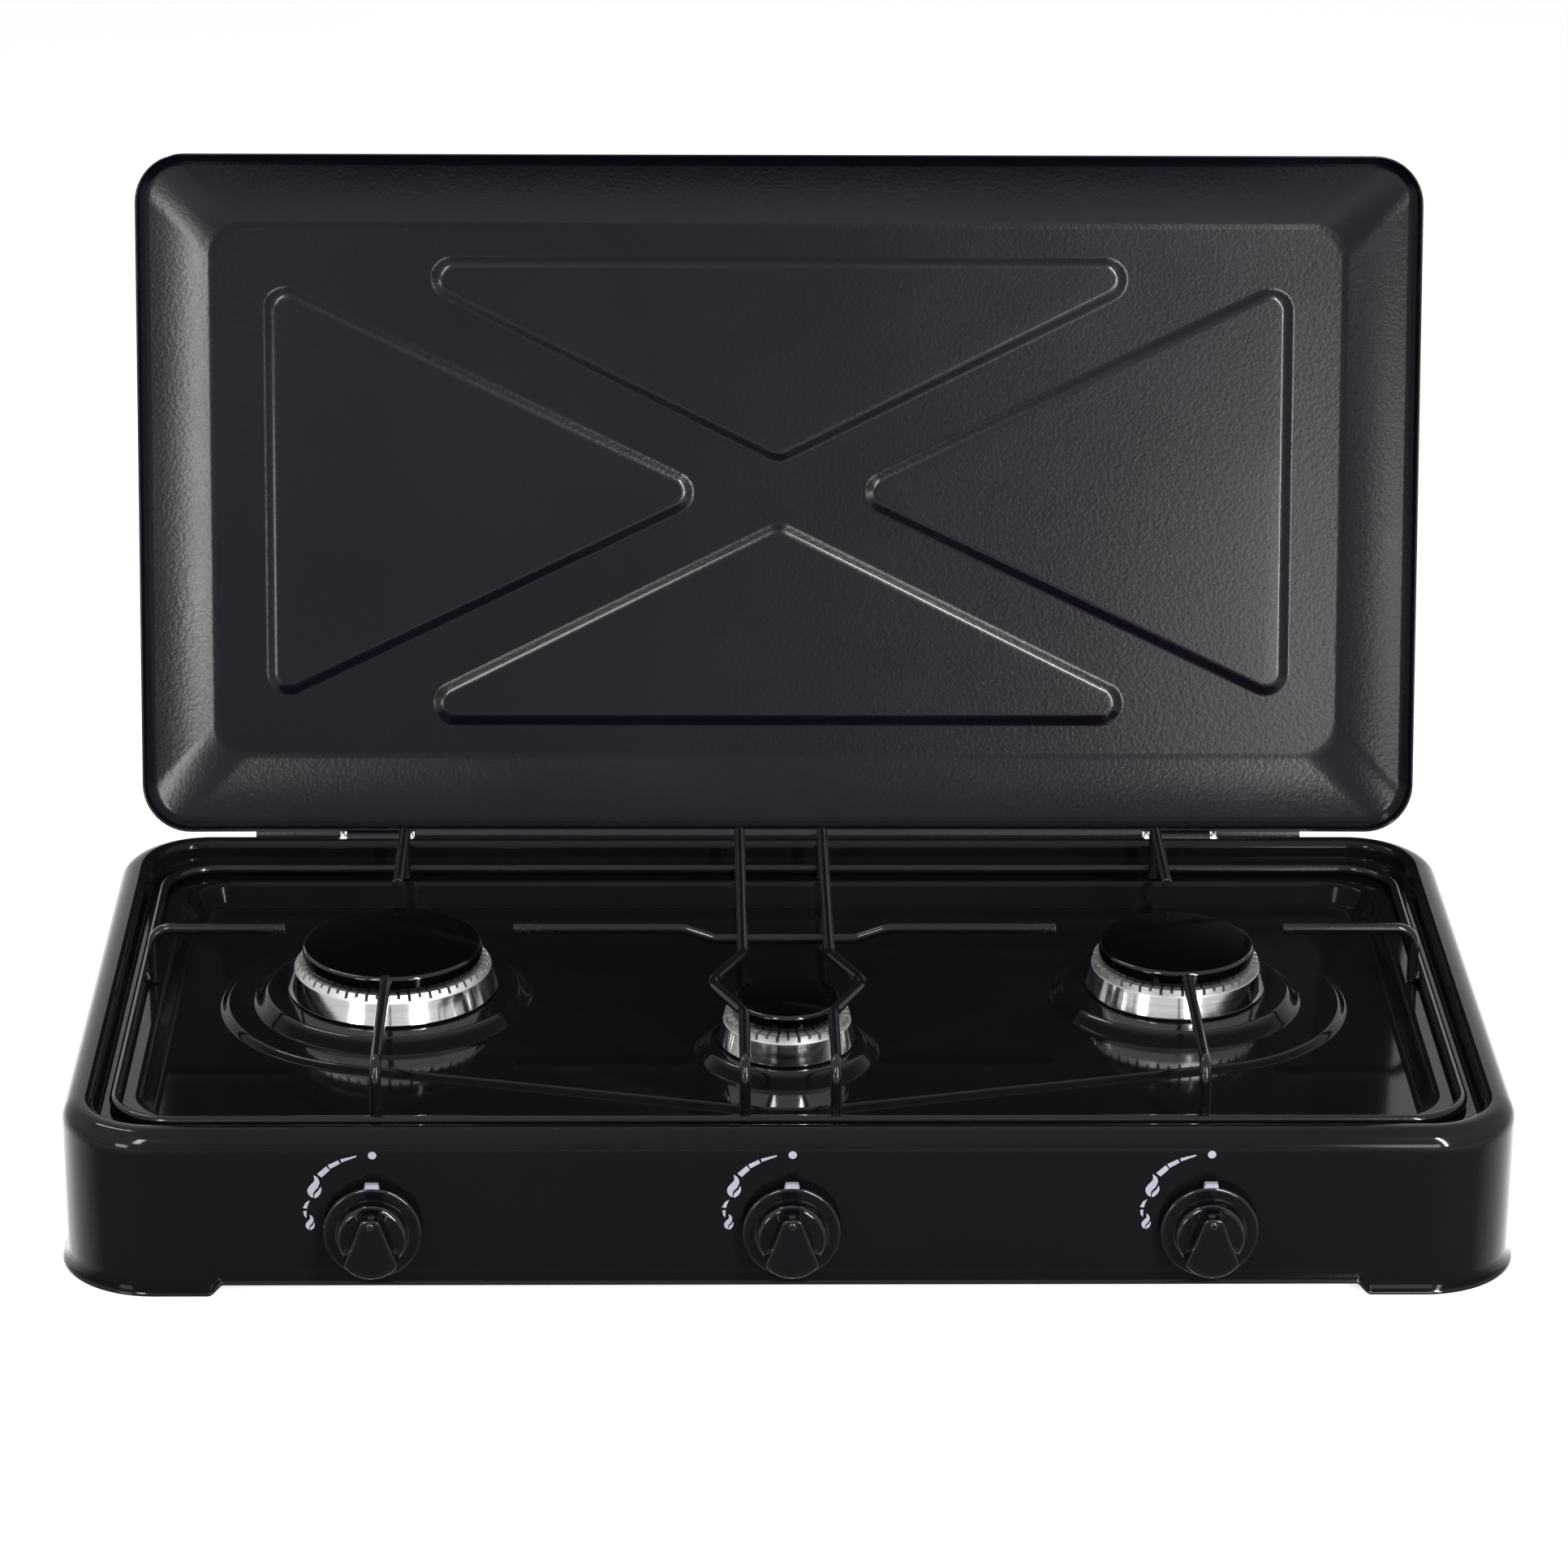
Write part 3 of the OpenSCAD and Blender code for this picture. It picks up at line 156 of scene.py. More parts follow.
class LidSizes(bpy.types.PropertyGroup):
    """Pressed lid with sloped shoulders and four raised triangles."""

    half_width: length("Half width", "Half of the lid's width", 0.318)
    half_depth: length("Half depth", "Half of the lid's depth", 0.1685)
    height: length("Height", "Height of the lid", 0.026)
    gap: length("Gap", "Between the closed lid and the rim", 0.0003)
    corner: length("Corner", "Corner radius of the lid", 0.024)
    wall: length("Wall", "Height of the upright wall", 0.009)
    wall_bend: length("Wall bend", "Bend between the wall and the bevel", 0.004)
    bevel_in: length("Bevel width", "Width of the bevel over the wall", 0.004)
    bevel_up: length("Bevel height", "Height of the bevel over the wall", 0.0045)
    bevel_bend: length("Bevel bend", "Bend between the bevel and the shoulder", 0.007)
    shoulder: length("Shoulder", "From the edge to the flat panel", 0.035)
    swell: length("Shoulder swell", "How far the middle of the shoulder bulges", 0.0009)
    panel_bend: length("Panel bend", "Bend between the shoulder and the panel", 0.012)
    panel_corner: length("Panel corner", "Corner radius of the flat panel", 0.018)
    press: length("Press depth", "Depth of the pressed triangles", 0.002)
    press_edge: length("Press edge", "Width of the sloped edge of a triangle", 0.007)
    press_round: length("Press rounding", "Corner rounding of the triangles", 0.012)
    side_in: length("Side inset", "From the panel's side to the side triangles", 0.025)
    side_tall: share("Side triangles", "Share of the panel's depth that they take up", 0.93)
    front_in: length("Front inset", "From the panel's edge to the front and rear triangles", 0.015)
    front_wide: share("Front triangles", "Share of the panel's width that they take up", 0.83)
    tip_gap: length("Tip gap", "Space between the tips of the side triangles", 0.052)
    hem: length("Rear hem", "How far the folded rear edge stands out", 0.0034)
    slot_place: length("Slot place", "From the front edge to the middle of a side slot", 0.062)
    slot_length: length("Slot length", "Length of a side slot", 0.011)
    slot_low: length("Slot height", "From the edge to the slot", 0.0025)
    slot_tall: length("Slot width", "Height of the slot's opening", 0.003)


class GrateSizes(bpy.types.PropertyGroup):
    """Pan support of welded wire."""

    wire: length("Wire radius", "Radius of the wire", 0.0026)
    bend: length("Bend", "Bend radius of the wires", 0.008)
    loop_corner: length("Loop corner", "Corner radius of the outer loop", 0.026)
    centre_gap: length("Centre gap", "Spacing of the two centre wires", 0.0405)
    centre_wide: length("Centre widening", "Spacing beside the middle burner", 0.071)
    centre_kink: length("Widening length", "Length of the widening on each side", 0.033)
    dip_half: length("Dip", "Half length of the dip in the cross wire", 0.03325)
    dip_run: length("Dip slope", "Length of each slope of the dip", 0.015)
    dip_drop: length("Dip depth", "Depth of the dip", 0.0053)
    kink_bend: length("Kink bend", "Bend radius of the kinks", 0.014)
    weld: length("Weld", "Radius of a weld bead", 0.0021)


class BurnerSizes(bpy.types.PropertyGroup):
    """Slotted heads and domed caps."""

    slots: IntVectorProperty(
        name="Slots", description="Flame slots of the left, middle and right head", default=(56, 36, 48)
    )
    slot_width: length("Slot width", "Width of a flame slot", 0.0015)
    slot_deep: length("Long slot", "Depth of the long slots", 0.0028)
    slot_short: length("Short slot", "Depth of the short slots", 0.0016)
    crown: length("Crown height", "Height of the slotted crown", 0.0035)
    crown_radii: lengths("Crown radii", "Top of the left, middle and right crown", (0.0442, 0.0288, 0.039))
    crown_step: length("Crown step", "Step between the side of a head and its crown", 0.0004)
    spigot_radii: lengths("Spigot radii", "Left, middle and right spigot", (0.022, 0.014, 0.018))
    side_in: length("Side taper", "How much the side of a head narrows up to its crown", 0.0034)
    foot: length("Foot rounding", "Rounding of the lower edge of a head", 0.0012)
    wall: length("Wall", "Wall of a head", 0.003)
    chamber_bevel: length("Chamber bevel", "Bevel round the floor of a head's chamber", 0.002)
    rise: length("Head height", "Height of a head over its seat", 0.0142)
    cap_rest: length("Cap rest", "Ring under the edge of a cap", 0.0035)
    cap_clear: length("Cap clearance", "Between a cap's skirt and its head", 0.0008)
    cap_skirt: length("Cap skirt", "Depth of the skirt under a cap", 0.005)
    cap_wall: length("Cap wall", "Wall of the skirt under a cap", 0.0025)
    cap_hollow: length("Cap hollow", "Depth of the hollow over the skirt", 0.0015)
    cap_hub: length("Cap hub", "Small ring that closes the hollow", 0.0004)
    cap_lower: length("Cap lower edge", "Rounding of the lower edge of a cap", 0.001)
    cap_edge: length("Cap edge", "Rounding of the upper edge of a cap", 0.0018)
    cap_dome: length("Cap dome", "Rise of the dome over the edge of a cap", 0.001)


class KnobSizes(bpy.types.PropertyGroup):
    """Control knobs, their return springs and the marks beside them."""

    skirt: length("Skirt", "Radius of the skirt", 0.0218)
    skirt_depth: length("Skirt depth", "Thickness of the skirt", 0.003)
    body: length("Body", "Radius of the body", 0.016)
    body_depth: length("Body depth", "Depth of the body over the skirt", 0.007)
    depth: length("Depth", "Depth of the whole knob", 0.0195)
    grip: length("Grip", "Radius of the round ends of the grip", 0.0145)
    wide: length("Wide end", "Width of the wide end of the grip", 0.0244)
    narrow: length("Narrow end", "Width of the narrow end of the grip", 0.0083)
    edge: length("Edge", "Rounding of the knob's edges", 0.0012)
    hole: length("Hole", "Radius of the hole for the spindle", 0.0041)
    hole_depth: length("Hole depth", "Depth of the hole for the spindle", 0.014)
    pip: length("Pip", "Radius of the pip on the grip", 0.0018)
    pip_height: length("Pip height", "Half the thickness of the pip", 0.0009)
    pip_in: length("Pip place", "From the narrow end of the grip to the pip", 0.003)
    pip_sink: length("Pip sink", "How far the middle of the pip lies under the grip", 0.0002)
    pointer: length("Pointer", "Thickness of the pointer on the skirt", 0.0024)
    pointer_edge: length("Pointer edge", "Bevel of the pointer", 0.0005)
    pointer_in: length("Pointer place", "From the edge of the skirt to the pointer's middle", 0.0005)
    mark_depth: length("Print", "Thickness of the printed marks", 0.00006)
    spring_wire: length("Spring wire", "Radius of the wire of a return spring", 0.0003)
    spring_turns: amount("Spring turns", "Turns of a return spring", 4.5)


class Finishes(bpy.types.PropertyGroup):
    """Colours and gloss of the stove's materials."""

    hob: colour("Hob enamel", "Glossy enamel of the casing", (0.0030, 0.0026, 0.0033))
    hob_rough: share("Hob roughness", "Roughness of the casing's enamel", 0.1)
    lid: colour("Lid enamel", "Satin enamel of the lid", (0.0024, 0.0013, 0.0038))
    lid_rough: share("Lid roughness", "Roughness of the lid's enamel", 0.23)
    wire: colour("Wire enamel", "Enamel of the pan support", (0.003, 0.0026, 0.003))
    wire_rough: share("Wire roughness", "Roughness of the wire enamel", 0.18)
    wear: colour("Worn edge", "Edges where the enamel has worn thin", (0.05, 0.047, 0.046))
    cap: colour("Cap enamel", "Enamel of the burner caps", (0.0006, 0.0004, 0.0007))
    cap_rough: share("Cap roughness", "Roughness of the cap enamel", 0.07)
    aluminium: colour("Aluminium", "Turned burner heads", (0.585, 0.5775, 0.57))
    knob: colour("Knob plastic", "Moulded knobs", (0.0026, 0.002, 0.003))
    knob_rough: share("Knob roughness", "Roughness of the knobs", 0.12)
    mark: colour("Dial print", "Printed dial marks", (0.22, 0.22, 0.265))
    brass: colour("Brass", "Valves, jets and inlet", (0.62, 0.43, 0.16))
    steel: colour("Plated steel", "Rail, straps, brackets and screws", (0.52, 0.53, 0.54))
    cast: colour("Cast aluminium", "Burner cups", (0.546, 0.539, 0.532))


class StageSizes(bpy.types.PropertyGroup):
    """Camera, floor and lamps."""

    camera: lengths("Camera", "Place of the camera", (-0.04752, -2.26607, 1.08577))
    yaw: angle("Yaw", "Turn to the right", 1.17)
    pitch: angle("Pitch", "Tilt down", 21.904)
    roll: angle("Roll", "Roll of the picture", 0.444)
    lens: amount("Lens", "Focal length in millimetres on a sensor 36 mm wide", 120.96)
    floor: length("Floor", "Half size of the floor", 6.0)
    floor_tone: share("Floor tone", "Grey of the floor", 0.65)
    floor_glow: amount("Floor glow", "White that the floor adds where it is seen", 0.76)
    around_light: amount("Surrounding light", "Light that the surroundings give", 0.2)
    around_seen: amount("Surrounding white", "White of the surroundings where they are seen", 1.0)
    level: amount("Light level", "Factor on the power of every lamp", 1.0)
    aim: length("Aim", "Height that the lamps point at", 0.15)


# Lamps: name, power in watts, then place and size in metres
LAMPS = (
    ("left_high", 16, (-0.76, -1.4, 1.3), (0.25, 0.8)),
    ("left_low", 8, (-1.25, -1.4, 0.36), (0.4, 0.4)),
    ("right_low", 5, (0.55, -1.5, 0.36), (0.25, 0.4)),
    ("right_tall", 48, (0.82, -1.42, 0.95), (0.1, 1.5)),
    ("rear", 6, (-0.9, 0.6, 1.6), (0.1, 0.6)),
)


# Shapes shared by several pieces


def node_middle(name):
    """Middle of a CAD node, seen from above."""
    low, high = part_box(name)
    return ((low + high) / 2).xy


def ease(t, bend=0.3):
    """Rises from 0 to 1, with both ends rounded over a share of the way."""
    t = min(1.0, max(0.0, t))
    if t < bend:
        return t * t / (2 * bend * (1 - bend))
    if t > 1 - bend:
        return 1 - (1 - t) ** 2 / (2 * bend * (1 - bend))
    return (t - bend / 2) / (1 - bend)


def spread(first, last, steps):
    """Evenly spaced numbers, both ends included."""
    return [first + (last - first) * k / steps for k in range(steps + 1)]


def full_turn(steps):
    """Evenly spaced angles of a full turn."""
    return spread(0, 2 * pi, steps)[:-1]


def arc(centre, radius, first, last, steps):
    """Points of an arc in a plane, with angles in radians."""
    return [(centre[0] + radius * cos(a), centre[1] + radius * sin(a)) for a in spread(first, last, steps)]


def circle(centre, radius, steps):
    """Points of a circle in a plane."""
    return arc(centre, radius, 0, 2 * pi, steps)[:-1]


def round_path(points, radii, steps):
    """A path through points whose inner corners are arcs."""
    points = [Vector(p) for p in points]
    path = [points[0]]
    for before, at, after, radius in zip(points, points[1:], points[2:], radii):
        back = (before - at).normalized()
        ahead = (after - at).normalized()
        half = back.angle(ahead) / 2
        centre = at + (back + ahead).normalized() * (radius / sin(half))
        start = at + back * (radius / tan(half)) - centre
        axis = start.cross(at + ahead * (radius / tan(half)) - centre)
        path += [centre + Matrix.Rotation(a, 3, axis) @ start for a in spread(0, pi - 2 * half, steps)]
    return path + [points[-1]]


def spline(points, steps):
    """A smooth line through points in a plane, from the first up to just before the last."""
    ends = [Vector(p) for p in (points[0], *points, points[-1])]
    line = []
    for a, b, c, d in zip(ends, ends[1:], ends[2:], ends[3:]):
        square = a - 2.5 * b + 2 * c - d / 2
        cube = 1.5 * (b - c) + (d - a) / 2
        line += [b + t * (c - a) / 2 + t * t * square + t**3 * cube for t in spread(0, 1, steps)[:-1]]
    return line


def rounded_outline(points, radius, shrink, steps):
    """A convex outline with rounded corners, moved inwards by shrink."""
    outline = []
    for k, at in enumerate(points):
        at = Vector(at)
        ahead = (Vector(points[(k + 1) % len(points)]) - at).normalized()
        back = (at - Vector(points[k - 1])).normalized()
        first = Vector((back.y, -back.x))
        second = Vector((ahead.y, -ahead.x))
        centre = at - radius * (first + second) / (1 + first.dot(second))
        start = atan2(first.y, first.x)
        outline += arc(centre, radius - shrink, start, start + first.angle(second), steps)
    return outline


def places_round(marks, corner_steps):
    """Places round a rounded rectangle: marks along each side, then the turn of each corner."""
    places = []
    for side in range(4):
        places += [(side, mark, None) for mark in sorted(marks[side])]
        places += [(side, None, turn) for turn in spread(0, pi / 2, corner_steps)]
    return places


def place_on(place, half_x, half_y, corner):
    """Where a place lies on a rounded rectangle of that size."""
    side, mark, turn = place
    reach, run = (half_y, half_x) if side % 2 == 0 else (half_x, half_y)
    out, ahead = OUTWARD[side], OUTWARD[(side + 1) % 4]
    if turn is None:
        return out * reach + ahead * mark
    return out * (reach - corner + corner * cos(turn)) + ahead * (run - corner + corner * sin(turn))


def ring_of(mesh, points):
    """New vertices at points."""
    return [mesh.verts.new(p) for p in points]


def level_ring(mesh, outline, height):
    """New vertices on a flat outline at a height."""
    return ring_of(mesh, [(x, y, height) for x, y in outline])


def skin(mesh, rings):
    """Joins neighbouring rings with four-sided faces."""
    for a, b in zip(rings, rings[1:]):
        for i in range(len(a)):
            j = (i + 1) % len(a)
            mesh.faces.new((a[i], a[j], b[j], b[i]))


def fill(mesh, *rings):
    """Fills the flat between an outer ring and the rings of its holes."""
    edges = []
    for ring in rings:
        for a, b in zip(ring, ring[1:] + ring[:1]):
            edges.append(mesh.edges.get((a, b)) or mesh.edges.new((a, b)))
    bmesh.ops.triangle_fill(mesh, use_beauty=True, use_dissolve=False, edges=edges)


def tube(mesh, path, radius, closed=False, sides=16):
    """Sweeps a round wire along a path, with softened ends unless it is closed."""
    path = [Vector(p) for p in path]
    last = len(path) - 1
    soft = radius / 4
    normal = None
    rings = []
    for k, at in enumerate(path):
        before = path[k - 1] if k or closed else at
        after = path[(k + 1) % len(path)] if k < last or closed else at
        ahead = (after - before).normalized()
        normal = ahead.orthogonal() if normal is None else normal - ahead * normal.dot(ahead)
        normal.normalize()
        aside = ahead.cross(normal)
        around = [normal * cos(a) + aside * sin(a) for a in full_turn(sides)]
        sections = [(at, radius)]
        if k == 0 and not closed:
            sections = [(at, radius - soft), (at + ahead * soft, radius)]
        elif k == last and not closed:
            sections = [(at - ahead * soft, radius), (at, radius - soft)]
        rings += [ring_of(mesh, [centre + d * size for d in around]) for centre, size in sections]
    skin(mesh, rings + rings[:1] if closed else rings)
    if not closed:
        mesh.faces.new(rings[0])
        mesh.faces.new(list(reversed(rings[-1])))


def bead(mesh, centre, size):
    """A small weld bead."""
    turn = Matrix.Translation(centre) @ Matrix.Diagonal((*size, 1))
    bmesh.ops.create_icosphere(mesh, subdivisions=2, radius=1, matrix=turn)


def cut_faces(mesh, inside):
    """Takes out the faces whose middle is inside an opening."""
    cut = [face for face in mesh.faces if inside(face.calc_center_median())]
    bmesh.ops.delete(mesh, geom=cut, context="FACES")


def finish_piece(mesh, name, body, slot, looks=(), replaced=(), sheet=0, sharp=35, facing=None):
    """Turns mesh code into a piece on a CAD body, with its slot's own material unless looks names others."""
    bmesh.ops.remove_doubles(mesh, verts=mesh.verts, dist=MERGE)
    bmesh.ops.recalc_face_normals(mesh, faces=mesh.faces)
    if facing is not None:
        place, direction = facing
        nearest = min(mesh.faces, key=lambda f: (f.calc_center_median() - place).length)
        if nearest.normal.dot(direction) < 0:
            bmesh.ops.reverse_faces(mesh, faces=mesh.faces)
    data = bpy.data.meshes.new(name)
    mesh.to_mesh(data)
    mesh.free()
    data.polygons.foreach_set("use_smooth", [True] * len(data.polygons))
    data.set_sharp_from_angle(angle=radians(sharp))
    for look in looks or (slot,):
        data.materials.append(finish(look))
    piece = bpy.data.objects.new(name, data)
    bpy.context.scene.collection.objects.link(piece)
    if sheet:
        press = piece.modifiers.new("Sheet", "SOLIDIFY")
        press.thickness = sheet
        press.offset = -1
        press.use_even_offset = True
    shade = piece.modifiers.new("Shade", "WEIGHTED_NORMAL")
    shade.keep_sharp = True
    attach(piece, body)
    if replaced:
        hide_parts(*replaced)
    return piece


# Materials


def feed(tree, slot, value):
    """Links a socket to a slot, or sets the slot to a constant."""
    if isinstance(value, bpy.types.NodeSocket):
        tree.links.new(value, slot)
    else:
        slot.default_value = value


def feed_all(tree, made, inputs):
    """Feeds the inputs of a node by name, with _ for a space."""
    for name, value in inputs.items():
        feed(tree, made.inputs[name.replace("_", " ")], value)


def node(tree, kind, **inputs):
    """A new node with its inputs fed."""
    made = tree.nodes.new(kind)
    feed_all(tree, made, inputs)
    return made


def use_group(tree, group, **inputs):
    """A node group placed in a material, with its inputs fed."""
    made = tree.nodes.new("ShaderNodeGroup")
    made.node_tree = bpy.data.node_groups[group]
    feed_all(tree, made, inputs)
    return made


def math_node(tree, operation, a, b=None):
    """The result of a math node on links or numbers."""
    made = tree.nodes.new("ShaderNodeMath")
    made.operation = operation
    for slot, value in zip(made.inputs, (a, b)):
        if value is not None:
            feed(tree, slot, value)
    return made.outputs[0]


def remap(tree, value, start, end, low=0.0, high=1.0):
    """Maps a value from start to end onto low to high, and holds it outside."""
    made = node(
        tree, "ShaderNodeMapRange", Value=value, From_Min=start, From_Max=end, To_Min=low, To_Max=high
    )
    return made.outputs["Result"]


def split(tree, vector):
    """The X, Y and Z of a vector."""
    return node(tree, "ShaderNodeSeparateXYZ", Vector=vector).outputs


def noise(tree, place, scale, detail, rough=0.5):
    """A noise texture over the piece's own coordinates."""
    made = node(tree, "ShaderNodeTexNoise", Vector=place, Scale=scale, Detail=detail, Roughness=rough)
    return made.outputs["Fac"]


def own_place(tree):
    """The piece's own coordinates."""
    return tree.nodes.new("ShaderNodeTexCoord").outputs["Object"]


def new_group(name, inputs, outputs):
    """A shader node group with its sockets, and the sockets inside it. Inputs give kind and default."""
    group = bpy.data.node_groups.new(name, "ShaderNodeTree")
    for key, (kind, default) in inputs.items():
        made = group.interface.new_socket(name=key, in_out="INPUT", socket_type=kind)
        made.default_value = default
    for key in outputs:
        group.interface.new_socket(name=key, in_out="OUTPUT", socket_type="NodeSocketFloat")
    return group, group.nodes.new("NodeGroupInput").outputs, group.nodes.new("NodeGroupOutput").inputs


def enamel_skin():
    """Fired enamel: orange peel, faint mottling and fine specks."""
    scales = {"Peel Scale": ("NodeSocketFloat", 300.0), "Mottle Scale": ("NodeSocketFloat", 9.0)}
    group, given, out = new_group("Enamel skin", scales, ("Height", "Mottle", "Specks"))
    place = own_place(group)
    coarse = noise(group, place, given["Peel Scale"], detail=1.5)
    fine_scale = math_node(group, "MULTIPLY", given["Peel Scale"], 3.7)
    fine = noise(group, place, fine_scale, detail=2.0)
    height = math_node(group, "ADD", coarse, math_node(group, "MULTIPLY", fine, 0.35))
    mottle = noise(group, place, given["Mottle Scale"], detail=5.0, rough=0.6)
    specks = math_node(group, "GREATER_THAN", noise(group, place, 1400.0, detail=1.0), 0.71)
    group.links.new(height, out["Height"])
    group.links.new(mottle, out["Mottle"])
    group.links.new(specks, out["Specks"])


def edge_wear():
    """Worn edges: a mask from the curvature of the mesh, broken up by noise."""
    group, given, out = new_group("Edge wear", {"Reach": ("NodeSocketFloat", 0.56)}, ("Mask",))
    point = group.nodes.new("ShaderNodeNewGeometry").outputs["Pointiness"]
    grain = noise(group, own_place(group), 420.0, detail=4.0, rough=0.7)
    rough_point = math_node(group, "ADD", point, math_node(group, "MULTIPLY", grain, 0.06))
    over = math_node(group, "SUBTRACT", rough_point, given["Reach"])
    group.links.new(remap(group, over, 0, 0.0714), out["Mask"])


def edge_gloss():
    """Glaze gathered on rounded edges that face up: a mask from the curvature of the mesh."""
    group, _, out = new_group("Edge gloss", {}, ("Mask",))
    shape = group.nodes.new("ShaderNodeNewGeometry").outputs
    steep = remap(group, shape["Pointiness"], 0.504, 0.52)
    upward = remap(group, split(group, shape["Normal"])["Z"], -0.1, 0.6)
    group.links.new(math_node(group, "MULTIPLY", steep, upward), out["Mask"])


def turned_lines():
    """Lathe marks round an upright axis, as a height and a tone."""
    values = {"Centre": ("NodeSocketVector", (0, 0, 0)), "Pitch": ("NodeSocketFloat", 1800.0)}
    group, given, out = new_group("Turned lines", values, ("Height", "Tone"))
    away = group.nodes.new("ShaderNodeVectorMath")
    away.operation = "SUBTRACT"
    group.links.new(own_place(group), away.inputs[0])
    group.links.new(given["Centre"], away.inputs[1])
    parts = split(group, away.outputs[0])
    squares = [math_node(group, "MULTIPLY", parts[axis], parts[axis]) for axis in ("X", "Y")]
    radius = math_node(group, "SQRT", math_node(group, "ADD", *squares))
    across = math_node(group, "MULTIPLY", math_node(group, "ADD", radius, parts["Z"]), given["Pitch"])
    for name, factor, detail in (("Height", 1.0, 1.0), ("Tone", 0.22, 3.0)):
        wave = node(group, "ShaderNodeTexNoise", Scale=1.0, Detail=detail)
        wave.noise_dimensions = "1D"
        group.links.new(math_node(group, "MULTIPLY", across, factor), wave.inputs["W"])
        group.links.new(wave.outputs["Fac"], out[name])


def new_material(name):
    """A material with a Principled shader, and its tree and shader."""
    material = bpy.data.materials.new(FINISH + name)
    material.use_nodes = True
    tree = material.node_tree
    return material, tree, tree.nodes["Principled BSDF"]


def finish(name):
    """A material made by the finishes step."""
    return bpy.data.materials[FINISH + name]


def blend_colour(tree, mask, a, b):
    """Mixes two colours, or a link and a colour, by a mask."""
    made = tree.nodes.new("ShaderNodeMix")
    made.data_type = "RGBA"
    tree.links.new(mask, made.inputs[0])
    for slot, value in zip((made.inputs[6], made.inputs[7]), (a, b)):
        feed(tree, slot, value if isinstance(value, bpy.types.NodeSocket) else (*value, 1))
    return made.outputs[2]


def tint(base, factor):
    """A colour made lighter or darker."""
    return tuple(min(1.0, c * factor) for c in base)


def mottled(tree, shader, mask, base, tones, rough, gloss):
    """Varies the roughness by a mask, and gives back the base colour varied by it, from factor to factor."""
    roughness = remap(tree, mask, 0, 1, rough * gloss[0], rough * gloss[1])
    tree.links.new(roughness, shader.inputs["Roughness"])
    return blend_colour(tree, mask, tint(base, tones[0]), tint(base, tones[1]))


def bump(tree, shader, height, strength, distance):
    """Feeds a height into the shader's normal."""
    made = node(tree, "ShaderNodeBump", Strength=strength, Distance=distance, Height=height)
    tree.links.new(made.outputs["Normal"], shader.inputs["Normal"])


def enamel(name, base, rough, peel, strength, specular, worn=None, coat=0.9, edge=0.8):
    """Fired enamel with orange peel, mottled gloss and, if a colour is given, worn edges."""
    _, tree, shader = new_material(name)
    coating = use_group(tree, "Enamel skin", Peel_Scale=peel).outputs
    shade = mottled(tree, shader, coating["Mottle"], base, (0.75, 1.3), rough, (0.75, 1.25))
    specks = math_node(tree, "MULTIPLY", coating["Specks"], 0.25)
    shade = blend_colour(tree, specks, shade, tint(base, 5))
    if worn is not None:
        mask = use_group(tree, "Edge wear", Reach=0.6).outputs["Mask"]
        shade = blend_colour(tree, mask, shade, worn)
    tree.links.new(shade, shader.inputs["Base Color"])
    bump(tree, shader, coating["Height"], strength, 0.0004)
    glance = node(tree, "ShaderNodeLayerWeight", Blend=0.5).outputs["Facing"]
    gloss = remap(tree, glance, 0.3, 0.8, 0, coat)
    brim = math_node(tree, "MULTIPLY", use_group(tree, "Edge gloss").outputs["Mask"], edge)
    tree.links.new(math_node(tree, "MAXIMUM", gloss, brim), shader.inputs["Coat Weight"])
    shader.inputs["Coat Roughness"].default_value = 0.08
    shader.inputs["Specular IOR Level"].default_value = specular


def turned_metal(name, base, rough, centre, strength):
    """Machined aluminium with lathe marks round the burner's axis."""
    _, tree, shader = new_material(name)
    lines = use_group(tree, "Turned lines", Centre=centre).outputs
    shade = mottled(tree, shader, lines["Tone"], base, (0.8, 1.12), rough, (0.75, 1.3))
    tree.links.new(shade, shader.inputs["Base Color"])
    shader.inputs["Metallic"].default_value = 1
    bump(tree, shader, lines["Height"], strength, 0.0001)


def plain_metal(name, base, rough, grain, strength):
    """Drawn, cast or plated metal with a mottled surface and brighter edges."""
    _, tree, shader = new_material(name)
    coating = use_group(tree, "Enamel skin", Peel_Scale=grain, Mottle_Scale=60.0).outputs
    shade = mottled(tree, shader, coating["Mottle"], base, (0.7, 1.15), rough, (0.7, 1.3))
    mask = use_group(tree, "Edge wear", Reach=0.57).outputs["Mask"]
    shade = blend_colour(tree, mask, shade, tint(base, 1.35))
    tree.links.new(shade, shader.inputs["Base Color"])
    shader.inputs["Metallic"].default_value = 1
    bump(tree, shader, coating["Height"], strength, 0.0002)


def mark_ink(name, base):
    """Printed ink with a slightly uneven coat."""
    _, tree, shader = new_material(name)
    coating = use_group(tree, "Enamel skin", Peel_Scale=900.0, Mottle_Scale=250.0).outputs
    shade = mottled(tree, shader, coating["Mottle"], base, (0.85, 1.15), 0.5, (0.7, 1.1))
    tree.links.new(shade, shader.inputs["Base Color"])
    bump(tree, shader, coating["Height"], 0.2, 0.0001)


def dress(names, slot, look=None):
    """Gives CAD nodes that stay visible the material named by slot, unless look names another."""
    for name in names:
        piece = frame["nodes"][name]
        piece.data.materials.clear()
        piece.data.materials.append(finish(look or slot))


def of_each(*kinds):
    """Names of the CAD nodes of these kinds at the three burners."""
    return [kind + "_" + side for kind in kinds for side in BURNERS]


